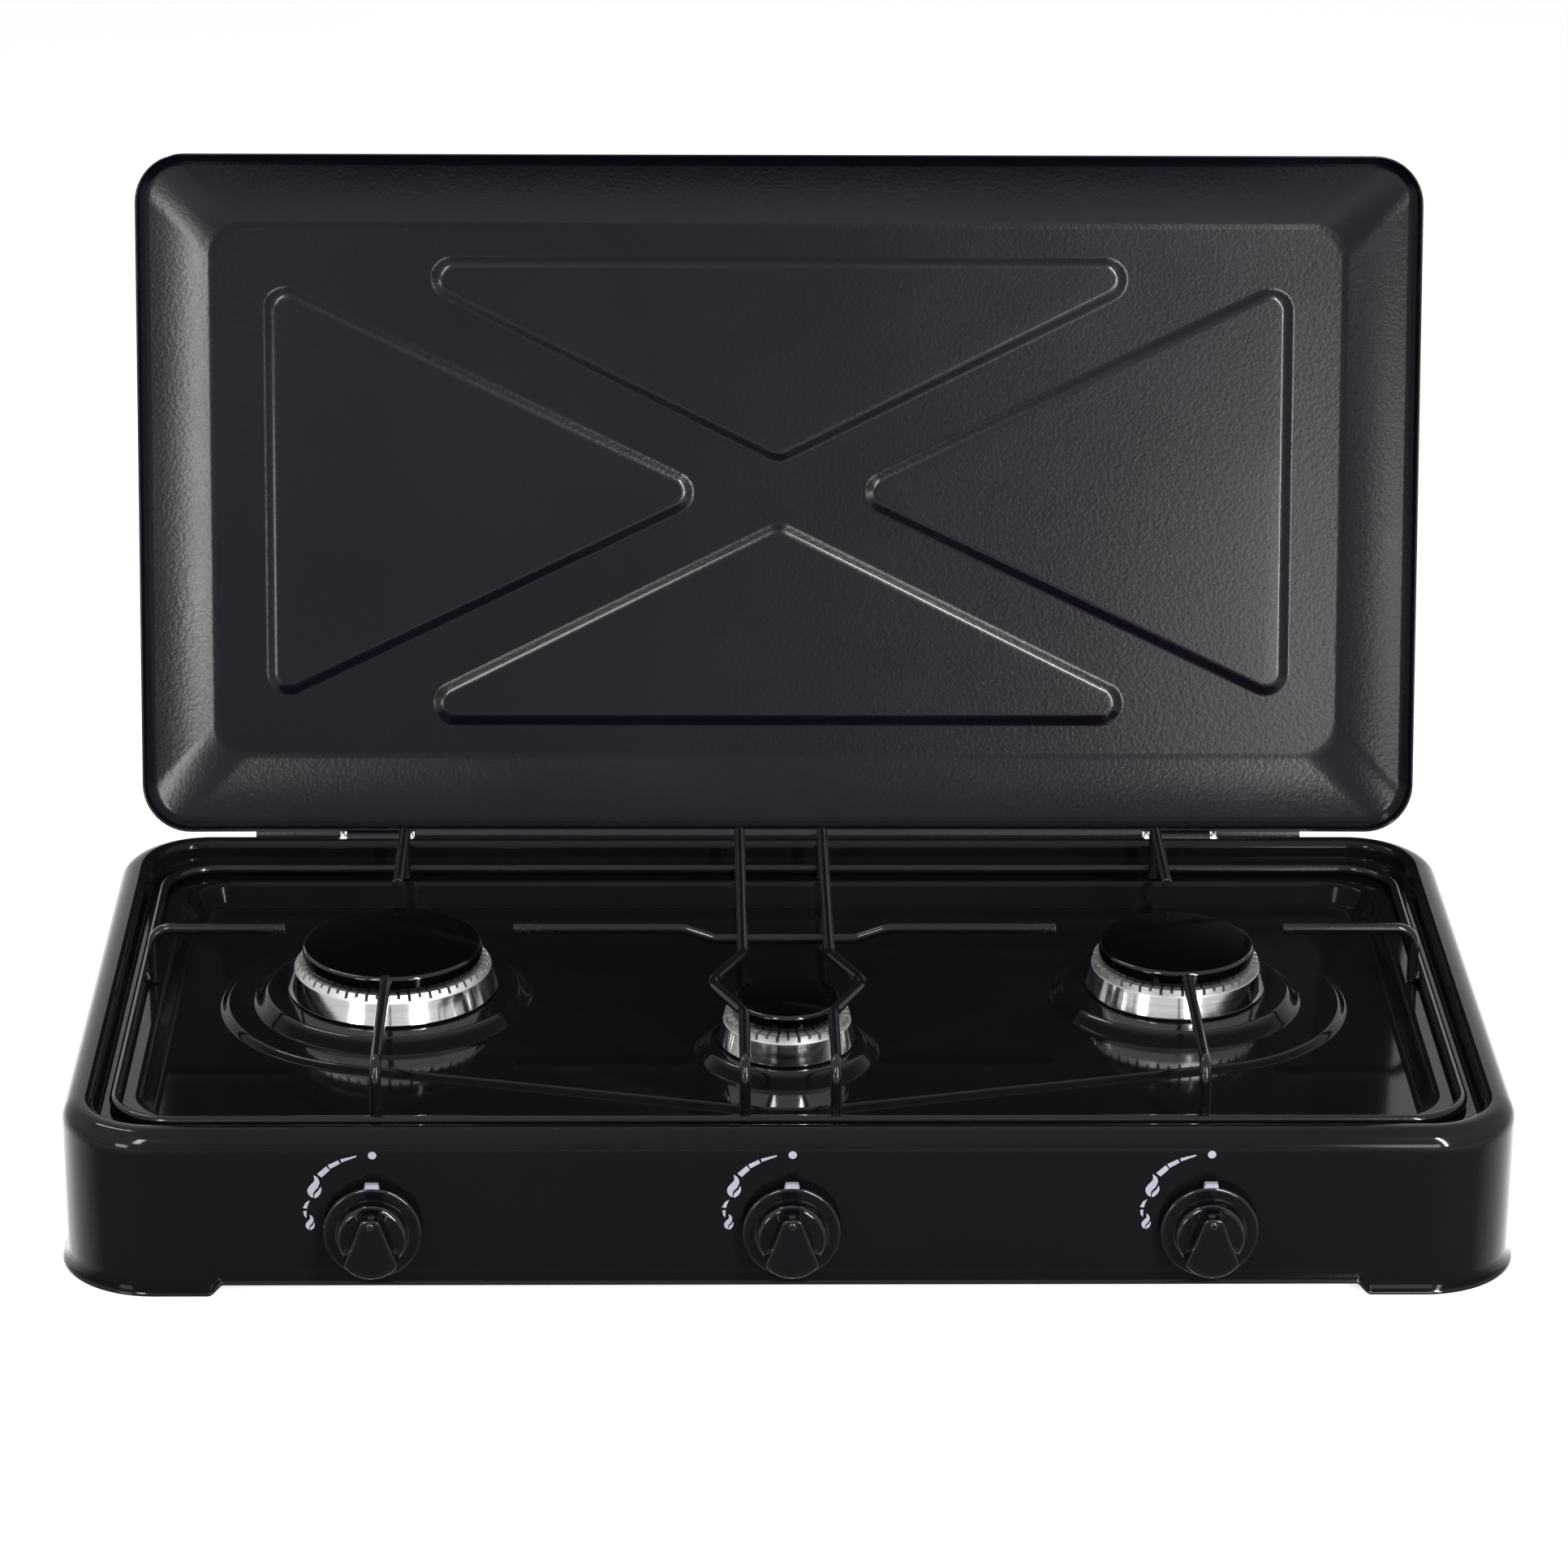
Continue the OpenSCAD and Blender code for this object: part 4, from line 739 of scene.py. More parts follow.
class STOVE_OT_finishes(bpy.types.Operator):
    """Builds the node groups and the materials"""

    bl_idname = "stove.finishes"
    bl_label = "Finishes"

    def execute(self, context):
        look = context.scene.stove_finishes
        enamel_skin()
        edge_wear()
        edge_gloss()
        turned_lines()
        enamel("hob_enamel", look.hob, look.hob_rough, peel=230, strength=0.05, specular=0.032, edge=0.5)
        enamel("lid_enamel", look.lid, look.lid_rough, 520, strength=0.2, specular=0.17, coat=0, edge=0.5)
        enamel("wire_enamel", look.wire, look.wire_rough, 500, 0.12, 0.15, worn=look.wear, edge=0.3)
        enamel("cap_enamel", look.cap, look.cap_rough, peel=260, strength=0.04, specular=0.08, coat=0.4)
        enamel("knob_plastic", look.knob, look.knob_rough, 1500, 0.04, 0.04, worn=look.wear, edge=0.9)
        for side in BURNERS:
            axis = (*node_middle("burner_head_" + side), 0)
            turned_metal("head_turned_" + side, look.aluminium, rough=0.1, centre=axis, strength=0.06)
            turned_metal("head_band_" + side, look.aluminium, rough=0.42, centre=axis, strength=0.1)
        plain_metal("brass", look.brass, rough=0.3, grain=700, strength=0.15)
        plain_metal("plated_steel", look.steel, rough=0.32, grain=600, strength=0.12)
        plain_metal("cast_aluminium", look.cast, rough=0.5, grain=350, strength=0.4)
        mark_ink("dial_ink", look.mark)
        return {"FINISHED"}


# Casing


def field_outline(sizes, shrink):
    """Outline of the raised field round the three burners, moved inwards by shrink."""
    left = node_middle("burner_cap_left")
    centre = node_middle("burner_cap_centre")
    wide, narrow = sizes.field_side - shrink, sizes.field_centre - shrink
    away = centre - left
    tangent = atan2(away.y, away.x) - acos((wide - narrow) / away.length)
    hollow = sizes.field_round
    rise = sizes.field_rear + hollow - left.y
    aside = sqrt((sizes.field_side + hollow) ** 2 - rise**2)
    inner = (left.x + aside, left.y + rise)
    turn = atan2(rise, aside)
    half = arc(inner, hollow + shrink, -pi / 2, turn - pi, 8)
    half += arc(left, wide, turn, 2 * pi + tangent, 48)[1:]
    half += arc(centre, narrow, tangent, -pi / 2, 8)
    return half + [(-x, y) for x, y in reversed(half[1:-1])] + [(-half[0][0], half[0][1])]


def foot_lift(place, sizes):
    """How far the bottom edge stands off the table at a place."""
    side, mark, turn = place
    if turn is not None:
        return 0.0
    run = sizes.half_width if side % 2 == 0 else sizes.half_depth
    return sizes.edge_lift * ease((run - sizes.corner - sizes.foot_run - abs(mark)) / sizes.foot_slope)


def casing_profile(sizes):
    """Inset and height from the upright wall over the rim to the ledge."""
    rim, inner, fold = sizes.rim_round, sizes.rim_inner, sizes.ledge_round
    flat = rim + sizes.rim_flat
    width = flat + inner
    ledge = RIM_TOP - sizes.ledge_drop
    profile = [(rim - rim * cos(a), RIM_TOP - rim + rim * sin(a)) for a in spread(0, pi / 2, 12)]
    profile += [(flat + inner * sin(a), RIM_TOP - inner + inner * cos(a)) for a in spread(0, pi / 2, 8)]
    profile += [(width + fold - fold * cos(a), ledge + fold - fold * sin(a)) for a in spread(0, pi / 2, 6)]
    return profile


def recess_profile(sizes):
    """Inset and height from the ledge down to the hob floor."""
    r, slope = sizes.recess_bend, sizes.recess_slope
    ledge = RIM_TOP - sizes.ledge_drop
    floor = ledge - sizes.recess_drop
    run = 2 * r * sin(slope) + (sizes.recess_drop - 2 * r * (1 - cos(slope))) / tan(slope)
    profile = [(r * sin(a), ledge - r + r * cos(a)) for a in spread(0, slope, 7)]
    profile += [(run - r * sin(a), floor + r - r * cos(a)) for a in spread(slope, 0, 7)]
    return profile


class STOVE_OT_casing(bpy.types.Operator):
    """Presses the casing: flared feet, wall, rim, ledge, hob floor, raised field and burner seats"""

    bl_idname = "stove.casing"
    bl_label = "Casing"

    def execute(self, context):
        sizes = context.scene.stove_casing
        floor = RIM_TOP - sizes.ledge_drop - sizes.recess_drop
        mesh = bmesh.new()
        self.hob(mesh, sizes, floor, self.shell(mesh, sizes))
        self.cut_notches(mesh, sizes)
        finish_piece(
            mesh,
            "casing_shell",
            "stove",
            "hob_enamel",
            replaced=("casing",),
            sheet=sizes.sheet,
            facing=(Vector((0, sizes.half_depth / 2, floor)), UP),
        )
        return {"FINISHED"}

    def shell(self, mesh, sizes):
        """Lip, wall, rim, ledge and recess slope. Gives back the ring at the foot of the slope."""
        marks = []
        for run in (sizes.half_width, sizes.half_depth) * 2:
            end = run - sizes.corner - sizes.foot_run
            slope = [end - sizes.foot_slope * t for t in spread(0, 1, 8)]
            marks.append([s * mark for mark in slope for s in (-1, 1)])
        notch = sizes.notch_width / 2
        marks[2] += [s * sizes.hinge_x + t * notch for s in (-1, 1) for t in (-1, 1)]
        places = places_round(marks, 16)
        lifts = [foot_lift(place, sizes) for place in places]
        level = [0.0] * len(places)
        outer = (sizes.half_width, sizes.half_depth, sizes.corner)
        rim_width = sizes.rim_round + sizes.rim_flat + sizes.rim_inner
        opening = (
            sizes.half_width - rim_width - sizes.ledge_side,
            sizes.half_depth - rim_width - sizes.ledge_front,
            sizes.recess_corner,
        )
        sections = []
        # The sheet's inner side reaches below its outer side where the lip flares
        lowest = sizes.sheet * sizes.lip_height / sizes.lip_round
        for h in spread(lowest, sizes.lip_height, 8):
            flare = sizes.lip_round - sqrt(sizes.lip_round**2 - (sizes.lip_height - h) ** 2)
            sections.append((outer, -flare, h, lifts))
        # Close rings at both ends of the wall keep its shading flat
        wall_foot = 2 * sizes.lip_height + sizes.edge_lift
        wall_top = RIM_TOP - sizes.rim_round
        for h in (wall_foot, wall_foot + sizes.sheet, wall_top - 2 * sizes.sheet, wall_top - sizes.sheet):
            sections.append((outer, 0, h, level))
        sections += [(outer, inset, h, level) for inset, h in casing_profile(sizes)]
        sections += [(opening, inset, h, level) for inset, h in recess_profile(sizes)]
        rings = []
        for shape, inset, h, raised in sections:
            half = [size - inset for size in shape]
            points = [place_on(p, *half) + UP * (lift + h) for p, lift in zip(places, raised)]
            rings.append(ring_of(mesh, points))
        skin(mesh, rings)
        return rings[-1]

    def hob(self, mesh, sizes, floor, recess):
        """Hob floor with the raised field and the three burner seats."""
        field = []
        for t in spread(0, 1, 8):
            outline = field_outline(sizes, sizes.field_edge * t)
            field.append(level_ring(mesh, outline, floor + sizes.field_height * ease(t)))
        skin(mesh, field)
        fill(mesh, recess, field[0])
        feet = []
        for side, flat, hole in zip(BURNERS, sizes.seat_radii, sizes.seat_holes):
            middle = node_middle("burner_cap_" + side)
            seat = []
            for t in spread(0, 1, 10):
                outline = circle(middle, flat + sizes.seat_edge * (1 - t), 96)
                height = floor + sizes.field_height + sizes.seat_height * ease(t)
                seat.append(level_ring(mesh, outline, height))
            skin(mesh, seat)
            fill(mesh, seat[-1], level_ring(mesh, circle(middle, hole, 48), height))
            feet.append(seat[0])
        fill(mesh, field[-1], *feet)

    def cut_notches(self, mesh, sizes):
        """Opens the rear rim for the two hinges."""
        inner = sizes.half_depth - sizes.rim_round - sizes.rim_flat
        low = RIM_TOP - sizes.rim_round

        def inside(at):
            return abs(abs(at.x) - sizes.hinge_x) < sizes.notch_width / 2 and at.y > inner and at.z > low

        cut_faces(mesh, inside)


# Lid


class STOVE_OT_lid(bpy.types.Operator):
    """Presses the lid with its shoulders, side slots and triangles, then swings it open"""

    bl_idname = "stove.lid"
    bl_label = "Lid"

    def execute(self, context):
        sizes = context.scene.stove_lid
        casing = context.scene.stove_casing
        mesh = bmesh.new()
        slot = sizes.slot_place - sizes.half_depth
        slot_ends = [slot - sizes.slot_length / 2, slot + sizes.slot_length / 2]
        hem_end = sizes.half_width - sizes.shoulder - sizes.panel_corner - sizes.hem
        hinge = (casing.hinge_x - casing.notch_width / 2, casing.hinge_x + casing.notch_width / 2)
        hem_marks = [s * end for end in (hem_end, *hinge) for s in (-1, 1)]
        places = places_round([[], slot_ends, hem_marks, [-end for end in slot_ends]], 12)
        rings = []
        for inset, height in self.profile(sizes):
            along = max(0.0, (inset - sizes.bevel_in) / (sizes.shoulder - sizes.bevel_in))
            height += 4 * sizes.swell * max(0.0, along * (1 - along))
            corner = sizes.corner - min(inset, sizes.bevel_in)
            corner += (sizes.panel_corner - sizes.corner + sizes.bevel_in) * along
            half = (sizes.half_width - inset, sizes.half_depth - inset, corner)
            rings.append(ring_of(mesh, [place_on(p, *half) + UP * height for p in places]))
        rear = [v for v in rings[0] if v.co.y > 0 and abs(v.co.x) <= hem_end]
        self.fold_hem(mesh, sizes.hem, rear, casing.sheet, hinge)
        skin(mesh, rings)
        holes = [self.press(mesh, sizes, triangle) for triangle in self.triangles(sizes)]
        fill(mesh, rings[-1], *holes)
        self.cut_slots(mesh, sizes, slot)
        pivot = Vector(JOINTS["lid_hinge"]["pos_m"])
        swing = Matrix.Rotation(radians(JOINTS["lid_hinge"]["range_deg"][0]), 4, "X")
        turn = Matrix.Translation(pivot) @ swing @ Matrix.Translation(-pivot)
        turn = turn @ Matrix.Translation((0, 0, RIM_TOP + sizes.gap))
        bmesh.ops.transform(mesh, matrix=turn, verts=mesh.verts)
        finish_piece(
            mesh,
            "lid_pan",
            "lid",
            "lid_enamel",
            replaced=("lid",),
            sheet=casing.sheet,
            facing=(turn @ Vector((0, 0, sizes.height)), turn.to_3x3() @ UP),
        )
        return {"FINISHED"}

    def profile(self, sizes):
        """Inset and height from the edge of the wall over the bevel and the shoulder to the panel."""
        corners = [
            (0, 0, 0),
            (0, 0, sizes.wall),
            (sizes.bevel_in, 0, sizes.wall + sizes.bevel_up),
            (sizes.shoulder, 0, sizes.height),
            (2 * sizes.shoulder, 0, sizes.height),
        ]
        steps = 6
        path = round_path(corners, (sizes.wall_bend, sizes.bevel_bend, sizes.panel_bend), steps)[1:-1]
        # The shoulder lies between the second and the third bend
        third = 2 * (steps + 1)
        path[third:third] = [path[third - 1].lerp(path[third], t) for t in spread(0, 1, 8)[1:-1]]
        wall = (0, sizes.slot_low, sizes.slot_low + sizes.slot_tall)
        return [(0, z) for z in wall] + [(p.x, p.z) for p in path]

    def fold_hem(self, mesh, hem, rear, sheet, hinge):
        """Folds the straight rear edge outwards, except at the hinges."""
        for vertex in rear:
            vertex.co.z += sheet
        for a, b in zip(rear, rear[1:]):
            if not hinge[0] < abs(a.co.x + b.co.x) / 2 < hinge[1]:
                fold = ring_of(mesh, [v.co + REAR * hem for v in (b, a)])
                mesh.faces.new((a, b, *fold))

    def triangles(self, sizes):
        """Corners of the four pressed triangles, turning the same way round."""
        x = sizes.half_width - sizes.shoulder - sizes.side_in
        y = sizes.half_depth - sizes.shoulder - sizes.front_in
        side = [(x, -sizes.side_tall * y), (x, sizes.side_tall * y), (sizes.tip_gap / 2, 0)]
        rear = [(sizes.front_wide * x, y), (-sizes.front_wide * x, y), (0, sizes.tip_gap / 4)]
        return [[(s * px, s * py) for px, py in shape] for shape in (side, rear) for s in (1, -1)]

    def press(self, mesh, sizes, triangle):
        """Presses a triangle into the panel, and gives back its outer ring."""
        steps = []
        for t in spread(0, 1, 8):
            outline = rounded_outline(triangle, sizes.press_round, sizes.press_edge * t, 8)
            steps.append(level_ring(mesh, outline, sizes.height - sizes.press * ease(t)))
        skin(mesh, steps)
        fill(mesh, steps[-1])
        return steps[0]

    def cut_slots(self, mesh, sizes, slot):
        """Opens the slots in the side walls."""

        def inside(at):
            tall = sizes.slot_low < at.z < sizes.slot_low + sizes.slot_tall
            wall = abs(at.x) > sizes.half_width - sizes.bevel_in
            return tall and wall and abs(at.y - slot) < sizes.slot_length / 2

        cut_faces(mesh, inside)


class STOVE_OT_hinges(bpy.types.Operator):
    """Finishes the hinge leaves, brackets, pins and rivets"""

    bl_idname = "stove.hinges"
    bl_label = "Hinges"

    def execute(self, context):
        dress(("lid_leaf_left", "lid_leaf_right", "leaf_rivets"), "lid_enamel")
        metal = ("hinge_bracket_left", "hinge_bracket_right", "hinge_pin_left", "hinge_pin_right")
        dress(metal, "plated_steel")
        return {"FINISHED"}


# Pan support

# Fingers of the pan support, and the side where the leg of each stands
FINGERS = {
    "left": LEFT,
    "right": RIGHT,
    "front_left": FRONT,
    "front_right": FRONT,
    "rear_left": REAR,
    "rear_right": REAR,
}


class STOVE_OT_pan_support(bpy.types.Operator):
    """Bends and welds the wires of the pan support"""

    bl_idname = "stove.pan_support"
    bl_label = "Pan support"

    def execute(self, context):
        sizes = context.scene.stove_grate
        self.loop(sizes)
        for name, out in FINGERS.items():
            self.finger(sizes, name, out)
        for side in (-1, 1):
            self.centre_wire(sizes, side)
        self.cross_wire(sizes)
        return {"FINISHED"}

    def add_wire(self, mesh, name, node_name):
        """Turns a wire into a piece of the pan support."""
        finish_piece(mesh, name, "grate", "wire_enamel", replaced=(node_name,), sharp=50)

    def loop(self, sizes):
        """Closed outer loop on the ledge."""
        low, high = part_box("grate_loop")
        half = (high.x - sizes.wire, high.y - sizes.wire, sizes.loop_corner)
        middle = (low.z + high.z) / 2
        places = places_round([[0.0]] * 4, 14)
        mesh = bmesh.new()
        tube(mesh, [place_on(p, *half) + UP * middle for p in places], sizes.wire, closed=True)
        self.add_wire(mesh, "wire_loop", "grate_loop")

    def weld_leg(self, mesh, sizes, foot, out):
        """Weld bead between the foot of a leg and the loop, longer along the loop."""
        low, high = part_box("grate_loop")
        centre = Vector((foot.x, foot.y, (low.z + high.z) / 2)) + out * sizes.wire
        stretch = (abs(out.y), abs(out.x), 0)
        bead(mesh, centre, [sizes.weld * (0.9 + 0.4 * s) for s in stretch])

    def finger(self, sizes, name, out):
        """Finger with one bend and a leg welded to the loop."""
        low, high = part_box("grate_finger_" + name)
        middle = (low + high) / 2
        top = high.z - sizes.wire
        reach = abs(out.dot(high - low)) / 2
        tip = middle - out * reach
        foot = middle + out * (reach - sizes.wire)
        tip.z, foot.z = top, low.z
        mesh = bmesh.new()
        tube(mesh, round_path([tip, (foot.x, foot.y, top), foot], [sizes.bend], 10), sizes.wire)
        self.weld_leg(mesh, sizes, foot, out)
        self.add_wire(mesh, "wire_finger_" + name, "grate_finger_" + name)

    def centre_wire(self, sizes, side):
        """Wire from front to rear that widens round the middle burner."""
        name = "left" if side < 0 else "right"
        low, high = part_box("grate_centre_wire_" + name)
        top = high.z - sizes.wire
        middle = node_middle("burner_cap_centre").y
        near, far = side * sizes.centre_gap / 2, side * sizes.centre_wide / 2
        reach = high.y - sizes.wire
        points = [
            (near, reach, low.z),
            (near, reach, top),
            (near, middle + sizes.centre_kink, top),
            (far, middle, top),
            (near, middle - sizes.centre_kink, top),
            (near, -reach, top),
            (near, -reach, low.z),
        ]
        kink = sizes.kink_bend
        mesh = bmesh.new()
        tube(mesh, round_path(points, [sizes.bend, kink, kink, kink, sizes.bend], 8), sizes.wire)
        for out in (FRONT, REAR):
            self.weld_leg(mesh, sizes, Vector((near, out.y * reach, low.z)), out)
        crossing = Vector((near, node_middle("grate_cross_wire").y, top - sizes.wire))
        bead(mesh, crossing, [sizes.weld * s for s in (1.2, 1.2, 0.6)])
        self.add_wire(mesh, "wire_centre_" + name, "grate_centre_wire_" + name)

    def cross_wire(self, sizes):
        """Wire from side to side that dips under the centre wires."""
        low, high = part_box("grate_cross_wire")
        top, y = high.z - sizes.wire, (low.y + high.y) / 2
        bottom = top - sizes.dip_drop
        half = [(high.x, top), (sizes.dip_half + sizes.dip_run, top), (sizes.dip_half, bottom)]
        points = [(-x, y, z) for x, z in half] + [(x, y, z) for x, z in reversed(half)]
        mesh = bmesh.new()
        tube(mesh, round_path(points, [sizes.kink_bend] * 4, 8), sizes.wire)
        self.add_wire(mesh, "wire_cross", "grate_cross_wire")


# Burners


class STOVE_OT_burners(bpy.types.Operator):
    """Turns and slots the burner heads, and domes the caps"""

    bl_idname = "stove.burners"
    bl_label = "Burners"

    def execute(self, context):
        sizes = context.scene.stove_burners
        for index, side in enumerate(BURNERS):
            self.head(sizes, index, side)
            self.cap(sizes, side)
        return {"FINISHED"}

    def head(self, sizes, index, side):
        """Head with a slotted crown: columns of one section, cut down where a slot is."""
        low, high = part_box("burner_head_" + side)
        axis = node_middle("burner_head_" + side).to_3d()
        cap_low, cap_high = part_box("burner_cap_" + side)
        ring = (cap_high.x - cap_low.x) / 2 - sizes.cap_rest
        crown, spigot = sizes.crown_radii[index], sizes.spigot_radii[index]
        bottom, top = high.z - sizes.rise, high.z
        chamber = bottom + sizes.wall
        reach = (high.x - low.x) / 2
        crown_low = top - sizes.crown
        crown_foot = max(crown + sizes.crown_step, reach - sizes.side_in)

        def column(slot, depth):
            """Section of the head from its spigot round to its chamber."""
            floor = top - depth
            at = crown + (crown_foot - crown) * depth / sizes.crown
            points = [(spigot - sizes.wall, low.z), (spigot, low.z), (spigot, bottom)]
            points += arc((reach - sizes.foot, bottom + sizes.foot), sizes.foot, -pi / 2, 0, 6)
            points += [(crown_foot + sizes.crown_step, crown_low), (crown_foot, crown_low), (at, floor)]
            points += [(at, floor), (ring, floor)] if slot else [(crown, top), (ring, top)]
            points += [(ring, floor), (ring, chamber + sizes.chamber_bevel)]
            return points + [(ring - sizes.chamber_bevel, chamber), (spigot - sizes.wall, chamber)]

        mesh = bmesh.new()
        count = sizes.slots[index]
        half = sizes.slot_width / 2 / crown
        edges = ((-half, False), (-half, True), (half, True), (half, False), (pi / count, False))
        columns = []
        for k in range(count):
            depth = sizes.slot_short if k % 2 else sizes.slot_deep
            for offset, slot in edges:
                turn = 2 * pi * k / count + offset
                out = Vector((cos(turn), sin(turn), 0))
                columns.append(ring_of(mesh, [axis + out * r + UP * z for r, z in column(slot, depth)]))
        skin(mesh, columns + columns[:1])
        piece = finish_piece(
            mesh,
            "head_" + side,
            "head_" + side,
            "burner_aluminium",
            looks=("head_turned_" + side, "head_band_" + side),
            replaced=("burner_head_" + side,),
        )
        for face in piece.data.polygons:
            face.material_index = 1 if face.center.z > crown_low - NEAR else 0

    def cap(self, sizes, side):
        """Domed cap with a rounded edge and a skirt that sits in the head."""
        low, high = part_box("burner_cap_" + side)
        axis = node_middle("burner_cap_" + side)
        radius = (high.x - low.x) / 2
        outer = radius - sizes.cap_rest - sizes.cap_clear
        inner = outer - sizes.cap_wall
        rest = low.z + sizes.cap_skirt
        roof = rest + sizes.cap_hollow
        lower, edge = sizes.cap_lower, sizes.cap_edge
        profile = [(sizes.cap_hub, roof), (inner, roof), (inner, low.z), (outer, low.z), (outer, rest)]
        profile += [(radius - lower, rest), (radius - lower / 5, rest + 1.4 * lower)]
        profile.append((radius, rest + 2 * lower))
        profile += arc((radius - edge, high.z - sizes.cap_dome - edge), edge, 0, radians(84), 8)
        start, rise = profile[-1]
        for t in spread(0, 0.99, 14)[1:]:
            profile.append((start * (1 - t), rise + (high.z - rise) * (1 - (1 - t) ** 2)))
        mesh = bmesh.new()
        rings = [level_ring(mesh, circle(axis, r, 96), z) for r, z in profile]
        skin(mesh, rings)
        mesh.faces.new(rings[0])
        mesh.faces.new(rings[-1])
        finish_piece(mesh, "cap_" + side, "cap_" + side, "cap_enamel", replaced=("burner_cap_" + side,))


# Knobs

# Outline of a knob's pointer, in millimetres from its middle
POINTER = ((-4.0, -2.0), (4.0, -2.0), (2.8, 2.4), (-2.8, 2.4))


def knob_axis(sizes, side, y):
    """Point on the axis of a knob."""
    low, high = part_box("knob_" + side)
    return Vector(((low.x + high.x) / 2, y, low.z + sizes.skirt))


def closeness(a, b, soft):
    """Rises to a quarter of soft where two numbers meet, to round off the corner between them."""
    near = max(soft - abs(a - b), 0) / soft
    return near * near * soft / 4


def grip_reach(sizes, turn):
    """Distance from the axis to the outline of the grip: a tapered bar, cut round at both ends."""
    high = sqrt(sizes.grip**2 - sizes.narrow**2 / 4)
    low = -sqrt(sizes.grip**2 - sizes.wide**2 / 4)
    taper = (sizes.wide - sizes.narrow) / 2 / (high - low)
    facing = abs(cos(turn)) + taper * sin(turn)
    side = (sizes.narrow / 2 + taper * high) / max(facing, 0.01)
    return min(side, sizes.grip) - closeness(side, sizes.grip, sizes.edge)


class STOVE_OT_knobs(bpy.types.Operator):
    """Models the knobs with skirt, body, grip, pip and pointer, and coils their return springs"""

    bl_idname = "stove.knobs"
    bl_label = "Knobs"

    def execute(self, context):
        sizes = context.scene.stove_knobs
        for side in BURNERS:
            self.knob(sizes, side)
            self.spring(sizes, side)
        dress(of_each("valve_spindle"), "plated_steel")
        return {"FINISHED"}

    def spring(self, sizes, side):
        """Coiled return spring behind the spindle."""
        low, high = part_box("valve_spring_" + side)
        middle = (low + high) / 2
        wire = sizes.spring_wire
        radius = (high.x - low.x) / 2 - wire
        path = []
        for t in spread(0, 1, 108):
            turn = 2 * pi * sizes.spring_turns * t
            along = low.y + wire + (high.y - low.y - 2 * wire) * t
            path.append((middle.x + radius * cos(turn), along, middle.z + radius * sin(turn)))
        mesh = bmesh.new()
        tube(mesh, path, wire, sides=8)
        replaced = ("valve_spring_" + side,)
        piece = finish_piece(mesh, "spring_" + side, "plug_" + side, "plated_steel", replaced=replaced)
        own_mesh(piece)

    def knob(self, sizes, side):
        """One knob, built round its spindle and facing the front."""
        axis = knob_axis(sizes, side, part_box("knob_" + side)[1].y)
        turns = full_turn(96)
        reaches = [grip_reach(sizes, turn) for turn in turns]
        mesh = bmesh.new()

        def at(turn, radius, out):
            return axis + Vector((radius * cos(turn), -out, radius * sin(turn)))

        def ring(radius, out, grip_shrink):
            """Round ring, widened to the outline of the grip where that reaches further."""
            points = []
            for turn, reach in zip(turns, reaches):
                grip = max(0.0, reach - grip_shrink)
                points.append(at(turn, max(radius, grip) + closeness(radius, grip, sizes.edge), out))
            return ring_of(mesh, points)

        # A shrink of 1 m leaves the grip out of a ring
        whole, no_grip = 0, 1
        edge, front = sizes.edge, sizes.depth
        top = sizes.skirt_depth + sizes.body_depth
        neck = sizes.grip * 0.57
        corners = [(sizes.skirt, 0, edge / 2), (sizes.skirt, 0, sizes.skirt_depth)]
        corners += [(sizes.body, 0, sizes.skirt_depth), (sizes.body - edge / 3, 0, top - edge)]
        corners.append((neck, 0, top + edge / 3))
        rings = [ring(sizes.skirt - edge / 2, 0, no_grip)]
        for p in round_path(corners, (edge, edge, 2.5 * edge), 6):
            rings.append(ring(p.x, p.z, whole if p.x < sizes.grip else no_grip))
        rings += [ring(r, top + 2 * edge, whole) for r in spread(neck, sizes.grip * 0.1, 3)[1:]]
        brow = edge * 0.75
        for a in spread(0, pi / 2, 5):
            rings.append(ring(0, front - brow + brow * sin(a), edge / 4 + brow * (1 - cos(a))))
        outline = [v.co.copy() for v in rings[-1]]
        middle = sum(outline, Vector()) / len(outline)
        # The face of the grip is slightly hollow
        for t in spread(0, 0.9, 5)[1:]:
            sink = REAR * (edge / 4 * ease(t))
            rings.append(ring_of(mesh, [p.lerp(middle, t) + sink for p in outline]))
        pit = ring_of(mesh, [at(turn, sizes.hole, sizes.hole_depth) for turn in turns])
        back = ring_of(mesh, [at(turn, sizes.hole, 0) for turn in turns])
        skin(mesh, [pit, back, *rings])
        mesh.faces.new(rings[-1])
        mesh.faces.new(pit)
        pip = axis + Vector((0, sizes.pip_sink - front, sizes.grip - sizes.pip_in))
        bead(mesh, pip, (sizes.pip, sizes.pip_height, sizes.pip))
        self.pointer(mesh, sizes, axis)
        finish_piece(
            mesh,
            "knob_body_" + side,
            "knob_" + side,
            "knob_plastic",
            looks=("knob_plastic", "dial_ink"),
            replaced=("knob_" + side,),
            sharp=48,
        )

    def pointer(self, mesh, sizes, axis):
        """Tapered pointer on the edge of the skirt, in the colour of the dial."""
        middle = axis + UP * (sizes.skirt - sizes.pointer_in)
        known = len(mesh.faces)
        rings = []
        for out, shrink in ((0, 1), (sizes.pointer - sizes.pointer_edge, 1), (sizes.pointer, 0.88)):
            points = [middle + Vector((x * MM * shrink, -out, z * MM * shrink)) for x, z in POINTER]
            rings.append(ring_of(mesh, points))
        skin(mesh, rings)
        mesh.faces.new(rings[0])
        mesh.faces.new(rings[-1])
        mesh.faces.ensure_lookup_table()
        for face in mesh.faces[known:]:
            face.material_index = 1


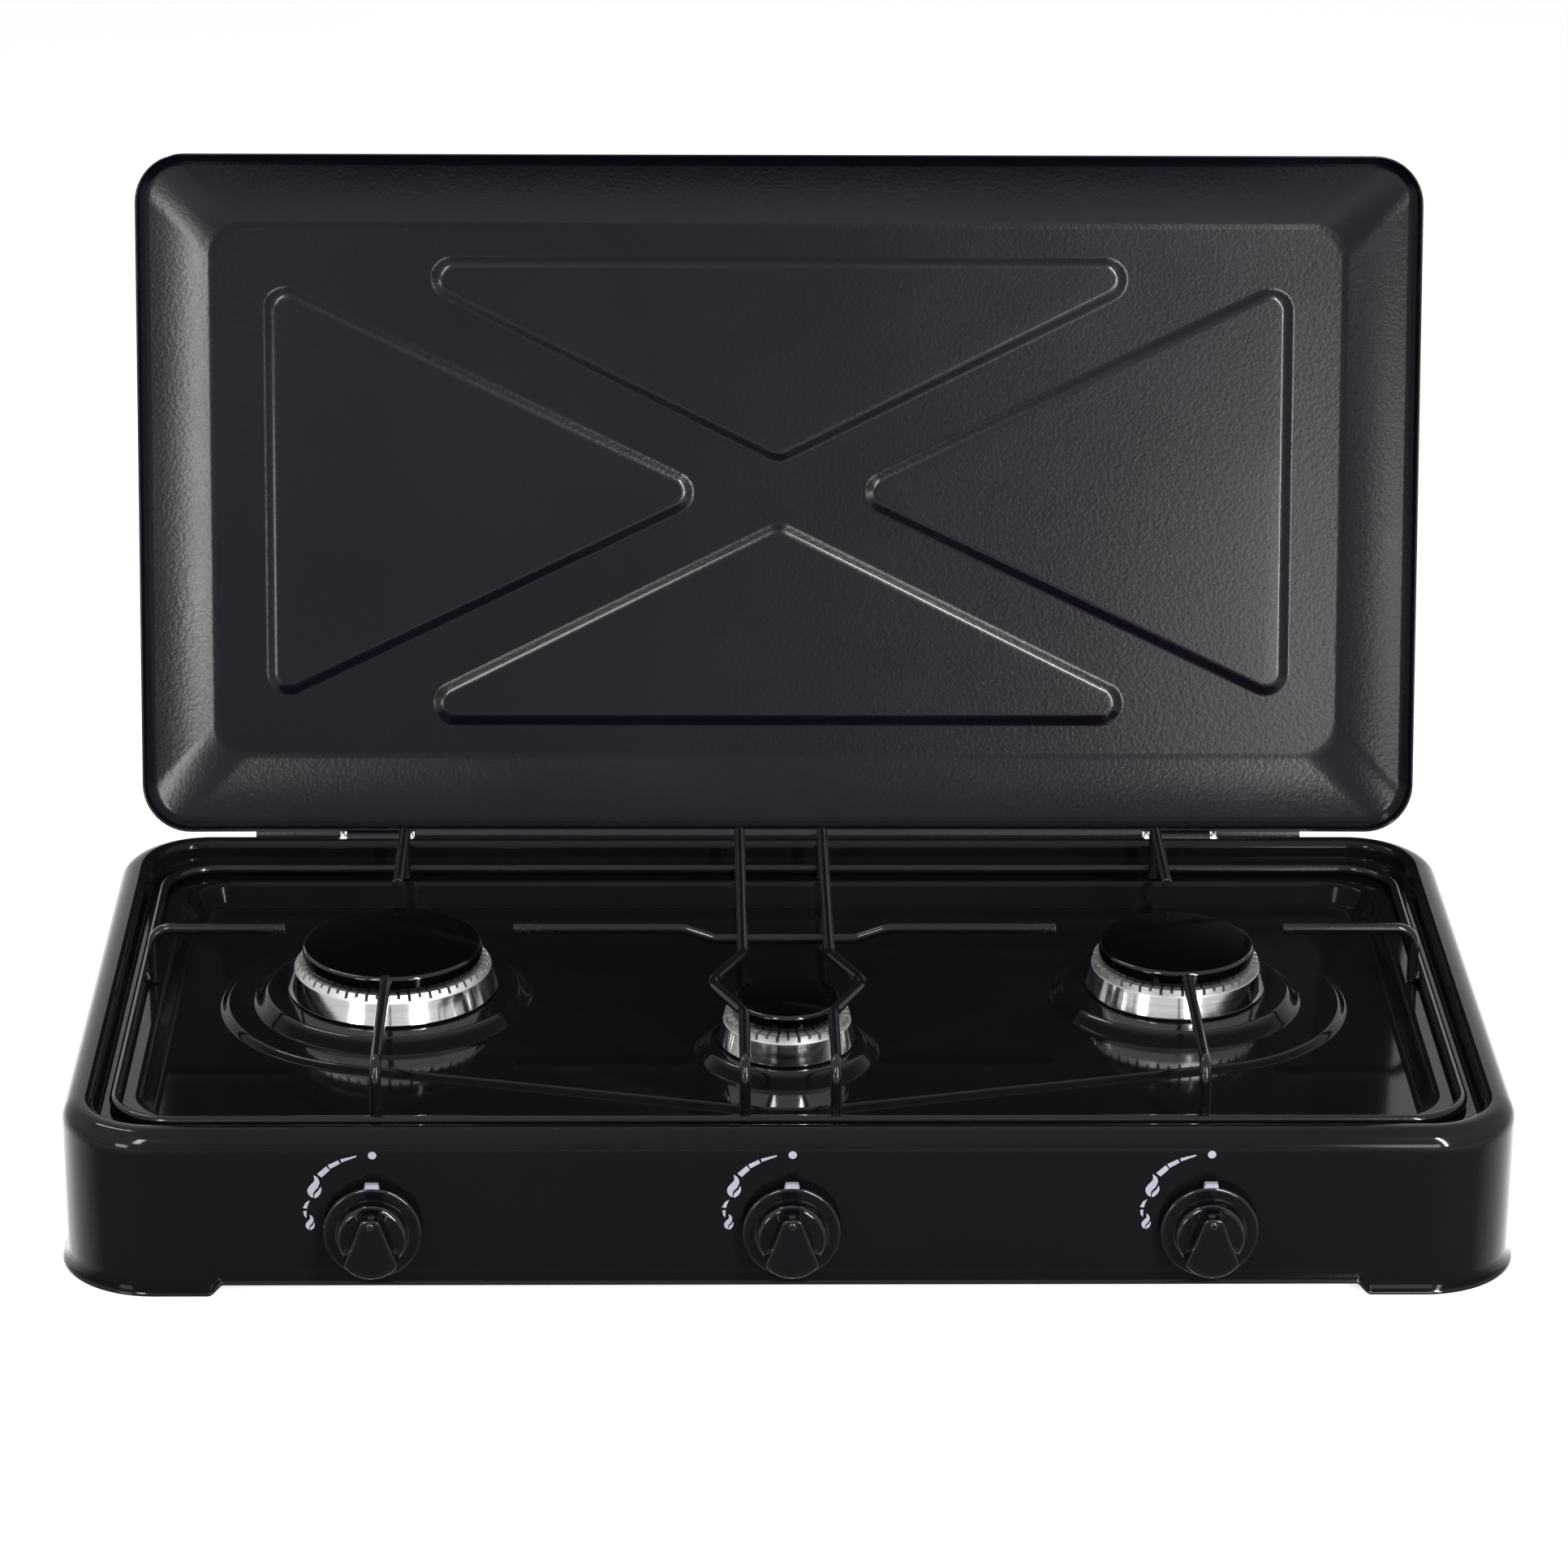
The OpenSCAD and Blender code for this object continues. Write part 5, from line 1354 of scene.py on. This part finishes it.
# Dial marks: outlines beside a knob, in millimetres from its axis
DOT = ((0.3, 35.2), 1.85)
BARS = (
    ((-24.1, 26.2), (-20.0, 30.0), (-18.5, 28.1), (-22.1, 24.5)),
    ((-19.3, 30.6), (-14.7, 32.9), (-13.9, 31.3), (-18.3, 28.7)),
    ((-13.7, 33.4), (-6.7, 35.2), (-6.7, 34.5), (-13.3, 31.9)),
)
DASHES = (
    ((-27.6, 13.4), (-29.5, 12.2), (-30.8, 9.6), (-29.0, 9.3), (-28.5, 11.2)),
    ((-30.6, 8.1), (-29.2, 8.2), (-29.3, 4.6), (-30.3, 5.8)),
)
FLAME_LEFT = (
    (-25.7, 25.7), (-24.0, 24.4), (-23.2, 22.2), (-24.0, 19.6), (-25.9, 17.2), (-26.3, 14.7),
    (-28.1, 16.2), (-28.5, 18.6), (-27.2, 20.8), (-25.6, 22.6), (-25.4, 24.2), (-25.7, 25.7),
)
FLAME_RIGHT = (
    (-22.8, 20.1), (-22.4, 18.2), (-23.4, 15.8), (-25.3, 14.4),
    (-25.7, 15.2), (-25.1, 16.8), (-23.6, 18.3), (-22.8, 20.1),
)
# The small flame is the large one, shrunk round its foot and moved
SMALL_FLAME_SCALE = 0.67
SMALL_FLAME_FOOT = Vector((-27.9, -1.3))
FLAME_FOOT = Vector((-25.7, 14.4))


class STOVE_OT_dial_marks(bpy.types.Operator):
    """Prints the dial marks on the front wall"""

    bl_idname = "stove.dial_marks"
    bl_label = "Dial marks"

    def execute(self, context):
        sizes = context.scene.stove_knobs
        wall = -context.scene.stove_casing.half_depth
        outlines = [circle(*DOT, 28), *BARS, *DASHES]
        for points in (FLAME_LEFT, FLAME_RIGHT):
            flame = spline(points, 6)
            outlines.append(flame)
            outlines.append([SMALL_FLAME_FOOT + SMALL_FLAME_SCALE * (p - FLAME_FOOT) for p in flame])
        for side in BURNERS:
            axis = knob_axis(sizes, side, wall)
            mesh = bmesh.new()
            for outline in outlines:
                rings = []
                for out in (0, sizes.mark_depth):
                    rings.append(ring_of(mesh, [axis + Vector((x * MM, -out, z * MM)) for x, z in outline]))
                skin(mesh, rings)
                fill(mesh, rings[0])
                fill(mesh, rings[1])
            finish_piece(mesh, "marks_" + side, "stove", "hob_enamel", looks=("dial_ink",))
        return {"FINISHED"}


class STOVE_OT_gas_works(bpy.types.Operator):
    """Finishes the valves, jets, tubes, cups, rail and inlet"""

    bl_idname = "stove.gas_works"
    bl_label = "Gas works"

    def execute(self, context):
        dress([*of_each("injector", "valve_body", "valve_plug"), "gas_inlet", "inlet_nut"], "brass")
        brackets = ["rail_bracket_left", "rail_bracket_right", "strap_screws", "burner_screws"]
        dress([*of_each("mixing_tube"), "gas_rail", "rail_straps", *brackets], "plated_steel")
        dress(of_each("burner_cup"), "burner_aluminium", look="cast_aluminium")
        return {"FINISHED"}


# Stage


def seen(tree):
    """A mask of what the camera sees, straight, in a reflection or through a clear piece."""
    rays = tree.nodes.new("ShaderNodeLightPath").outputs
    mask = math_node(tree, "MAXIMUM", rays["Is Camera Ray"], rays["Is Glossy Ray"])
    return math_node(tree, "MAXIMUM", mask, rays["Is Transmission Ray"])


class STOVE_OT_stage(bpy.types.Operator):
    """Sets the pale floor, the soft lamps, the white surroundings and the camera"""

    bl_idname = "stove.stage"
    bl_label = "Stage"

    def execute(self, context):
        sizes = context.scene.stove_stage
        context.scene.view_settings.view_transform = "Standard"
        self.floor(context, sizes)
        self.surroundings(context, sizes)
        for lamp in LAMPS:
            self.lamp(context, sizes, *lamp)
        self.camera(context, sizes)
        return {"FINISHED"}

    def floor(self, context, sizes):
        """Pale floor that keeps the stove's shadow."""
        mesh = bmesh.new()
        bmesh.ops.create_grid(mesh, x_segments=2, y_segments=2, size=sizes.floor)
        data = bpy.data.meshes.new("floor")
        mesh.to_mesh(data)
        mesh.free()
        piece = bpy.data.objects.new("floor", data)
        context.scene.collection.objects.link(piece)
        material, tree, shader = new_material("floor")
        shader.inputs["Base Color"].default_value = (sizes.floor_tone,) * 3 + (1,)
        shader.inputs["Roughness"].default_value = 0.9
        shader.inputs["Specular IOR Level"].default_value = 0.1
        shader.inputs["Emission Color"].default_value = (1, 1, 1, 1)
        glow = math_node(tree, "MULTIPLY", seen(tree), sizes.floor_glow)
        tree.links.new(glow, shader.inputs["Emission Strength"])
        data.materials.append(material)

    def surroundings(self, context, sizes):
        """White for the eye and for reflections, and a softer grey as light."""
        world = bpy.data.worlds.new("surroundings")
        context.scene.world = world
        world.use_nodes = True
        tree = world.node_tree
        shade = tree.nodes["Background"]
        shade.inputs["Color"].default_value = (1, 1, 1, 1)
        strength = remap(tree, seen(tree), 0, 1, sizes.around_light, sizes.around_seen)
        tree.links.new(strength, shade.inputs["Strength"])

    def lamp(self, context, sizes, name, power, place, size):
        """Soft rectangular lamp aimed at the stove."""
        light = bpy.data.lights.new(name, "AREA")
        light.shape = "RECTANGLE"
        light.size, light.size_y = size
        light.energy = power * sizes.level
        lamp = bpy.data.objects.new(name, light)
        lamp.location = place
        aim = UP * sizes.aim - Vector(place)
        lamp.rotation_euler = aim.to_track_quat("-Z", "Y").to_euler()
        context.scene.collection.objects.link(lamp)

    def camera(self, context, sizes):
        """Camera at the photograph's place."""
        data = bpy.data.cameras.new("camera")
        data.lens = sizes.lens
        data.sensor_width = 36
        data.sensor_fit = "HORIZONTAL"
        data.clip_end = 50
        yaw, pitch, roll = sizes.yaw, sizes.pitch, sizes.roll
        ahead = Vector((sin(yaw) * cos(pitch), cos(yaw) * cos(pitch), -sin(pitch)))
        right = Vector((cos(yaw), -sin(yaw), 0))
        above = right.cross(ahead)
        side = cos(roll) * right + sin(roll) * above
        above = cos(roll) * above - sin(roll) * right
        turn = Matrix((side, above, -ahead)).transposed().to_4x4()
        camera = bpy.data.objects.new("camera", data)
        camera.matrix_world = Matrix.Translation(sizes.camera) @ turn
        context.scene.collection.objects.link(camera)
        context.scene.camera = camera


class STOVE_PT_panel(bpy.types.Panel):
    """Lists the steps that build the stove and the sizes behind them"""

    bl_idname = "STOVE_PT_panel"
    bl_label = "Gas stove"
    bl_space_type = "VIEW_3D"
    bl_region_type = "UI"
    bl_category = "Stove"

    def draw(self, context):
        for step in STEPS:
            self.layout.operator(step.bl_idname)
        for name in GROUPS:
            box = self.layout.box()
            settings = getattr(context.scene, name)
            for key in settings.bl_rna.properties.keys():
                if key not in ("rna_type", "name"):
                    box.prop(settings, key)


GROUPS = {
    "stove_casing": CasingSizes,
    "stove_lid": LidSizes,
    "stove_grate": GrateSizes,
    "stove_burners": BurnerSizes,
    "stove_knobs": KnobSizes,
    "stove_finishes": Finishes,
    "stove_stage": StageSizes,
}
STEPS = (
    STOVE_OT_finishes,
    STOVE_OT_casing,
    STOVE_OT_lid,
    STOVE_OT_hinges,
    STOVE_OT_pan_support,
    STOVE_OT_burners,
    STOVE_OT_knobs,
    STOVE_OT_dial_marks,
    STOVE_OT_gas_works,
    STOVE_OT_stage,
)


def register():
    """Registers the sizes, the steps and the panel."""
    for name, group in GROUPS.items():
        bpy.utils.register_class(group)
        setattr(bpy.types.Scene, name, PointerProperty(type=group))
    for step in (*STEPS, STOVE_PT_panel):
        bpy.utils.register_class(step)


def unregister():
    """Takes back what register adds."""
    for step in reversed((*STEPS, STOVE_PT_panel)):
        bpy.utils.unregister_class(step)
    for name, group in GROUPS.items():
        delattr(bpy.types.Scene, name)
        bpy.utils.unregister_class(group)


def main():
    """Builds the stove step by step."""
    register()
    bpy.ops.stove.finishes()
    bpy.ops.stove.casing()
    bpy.ops.stove.lid()
    bpy.ops.stove.hinges()
    bpy.ops.stove.pan_support()
    bpy.ops.stove.burners()
    bpy.ops.stove.knobs()
    bpy.ops.stove.dial_marks()
    bpy.ops.stove.gas_works()
    bpy.ops.stove.stage()


if __name__ == "__main__":
    main()
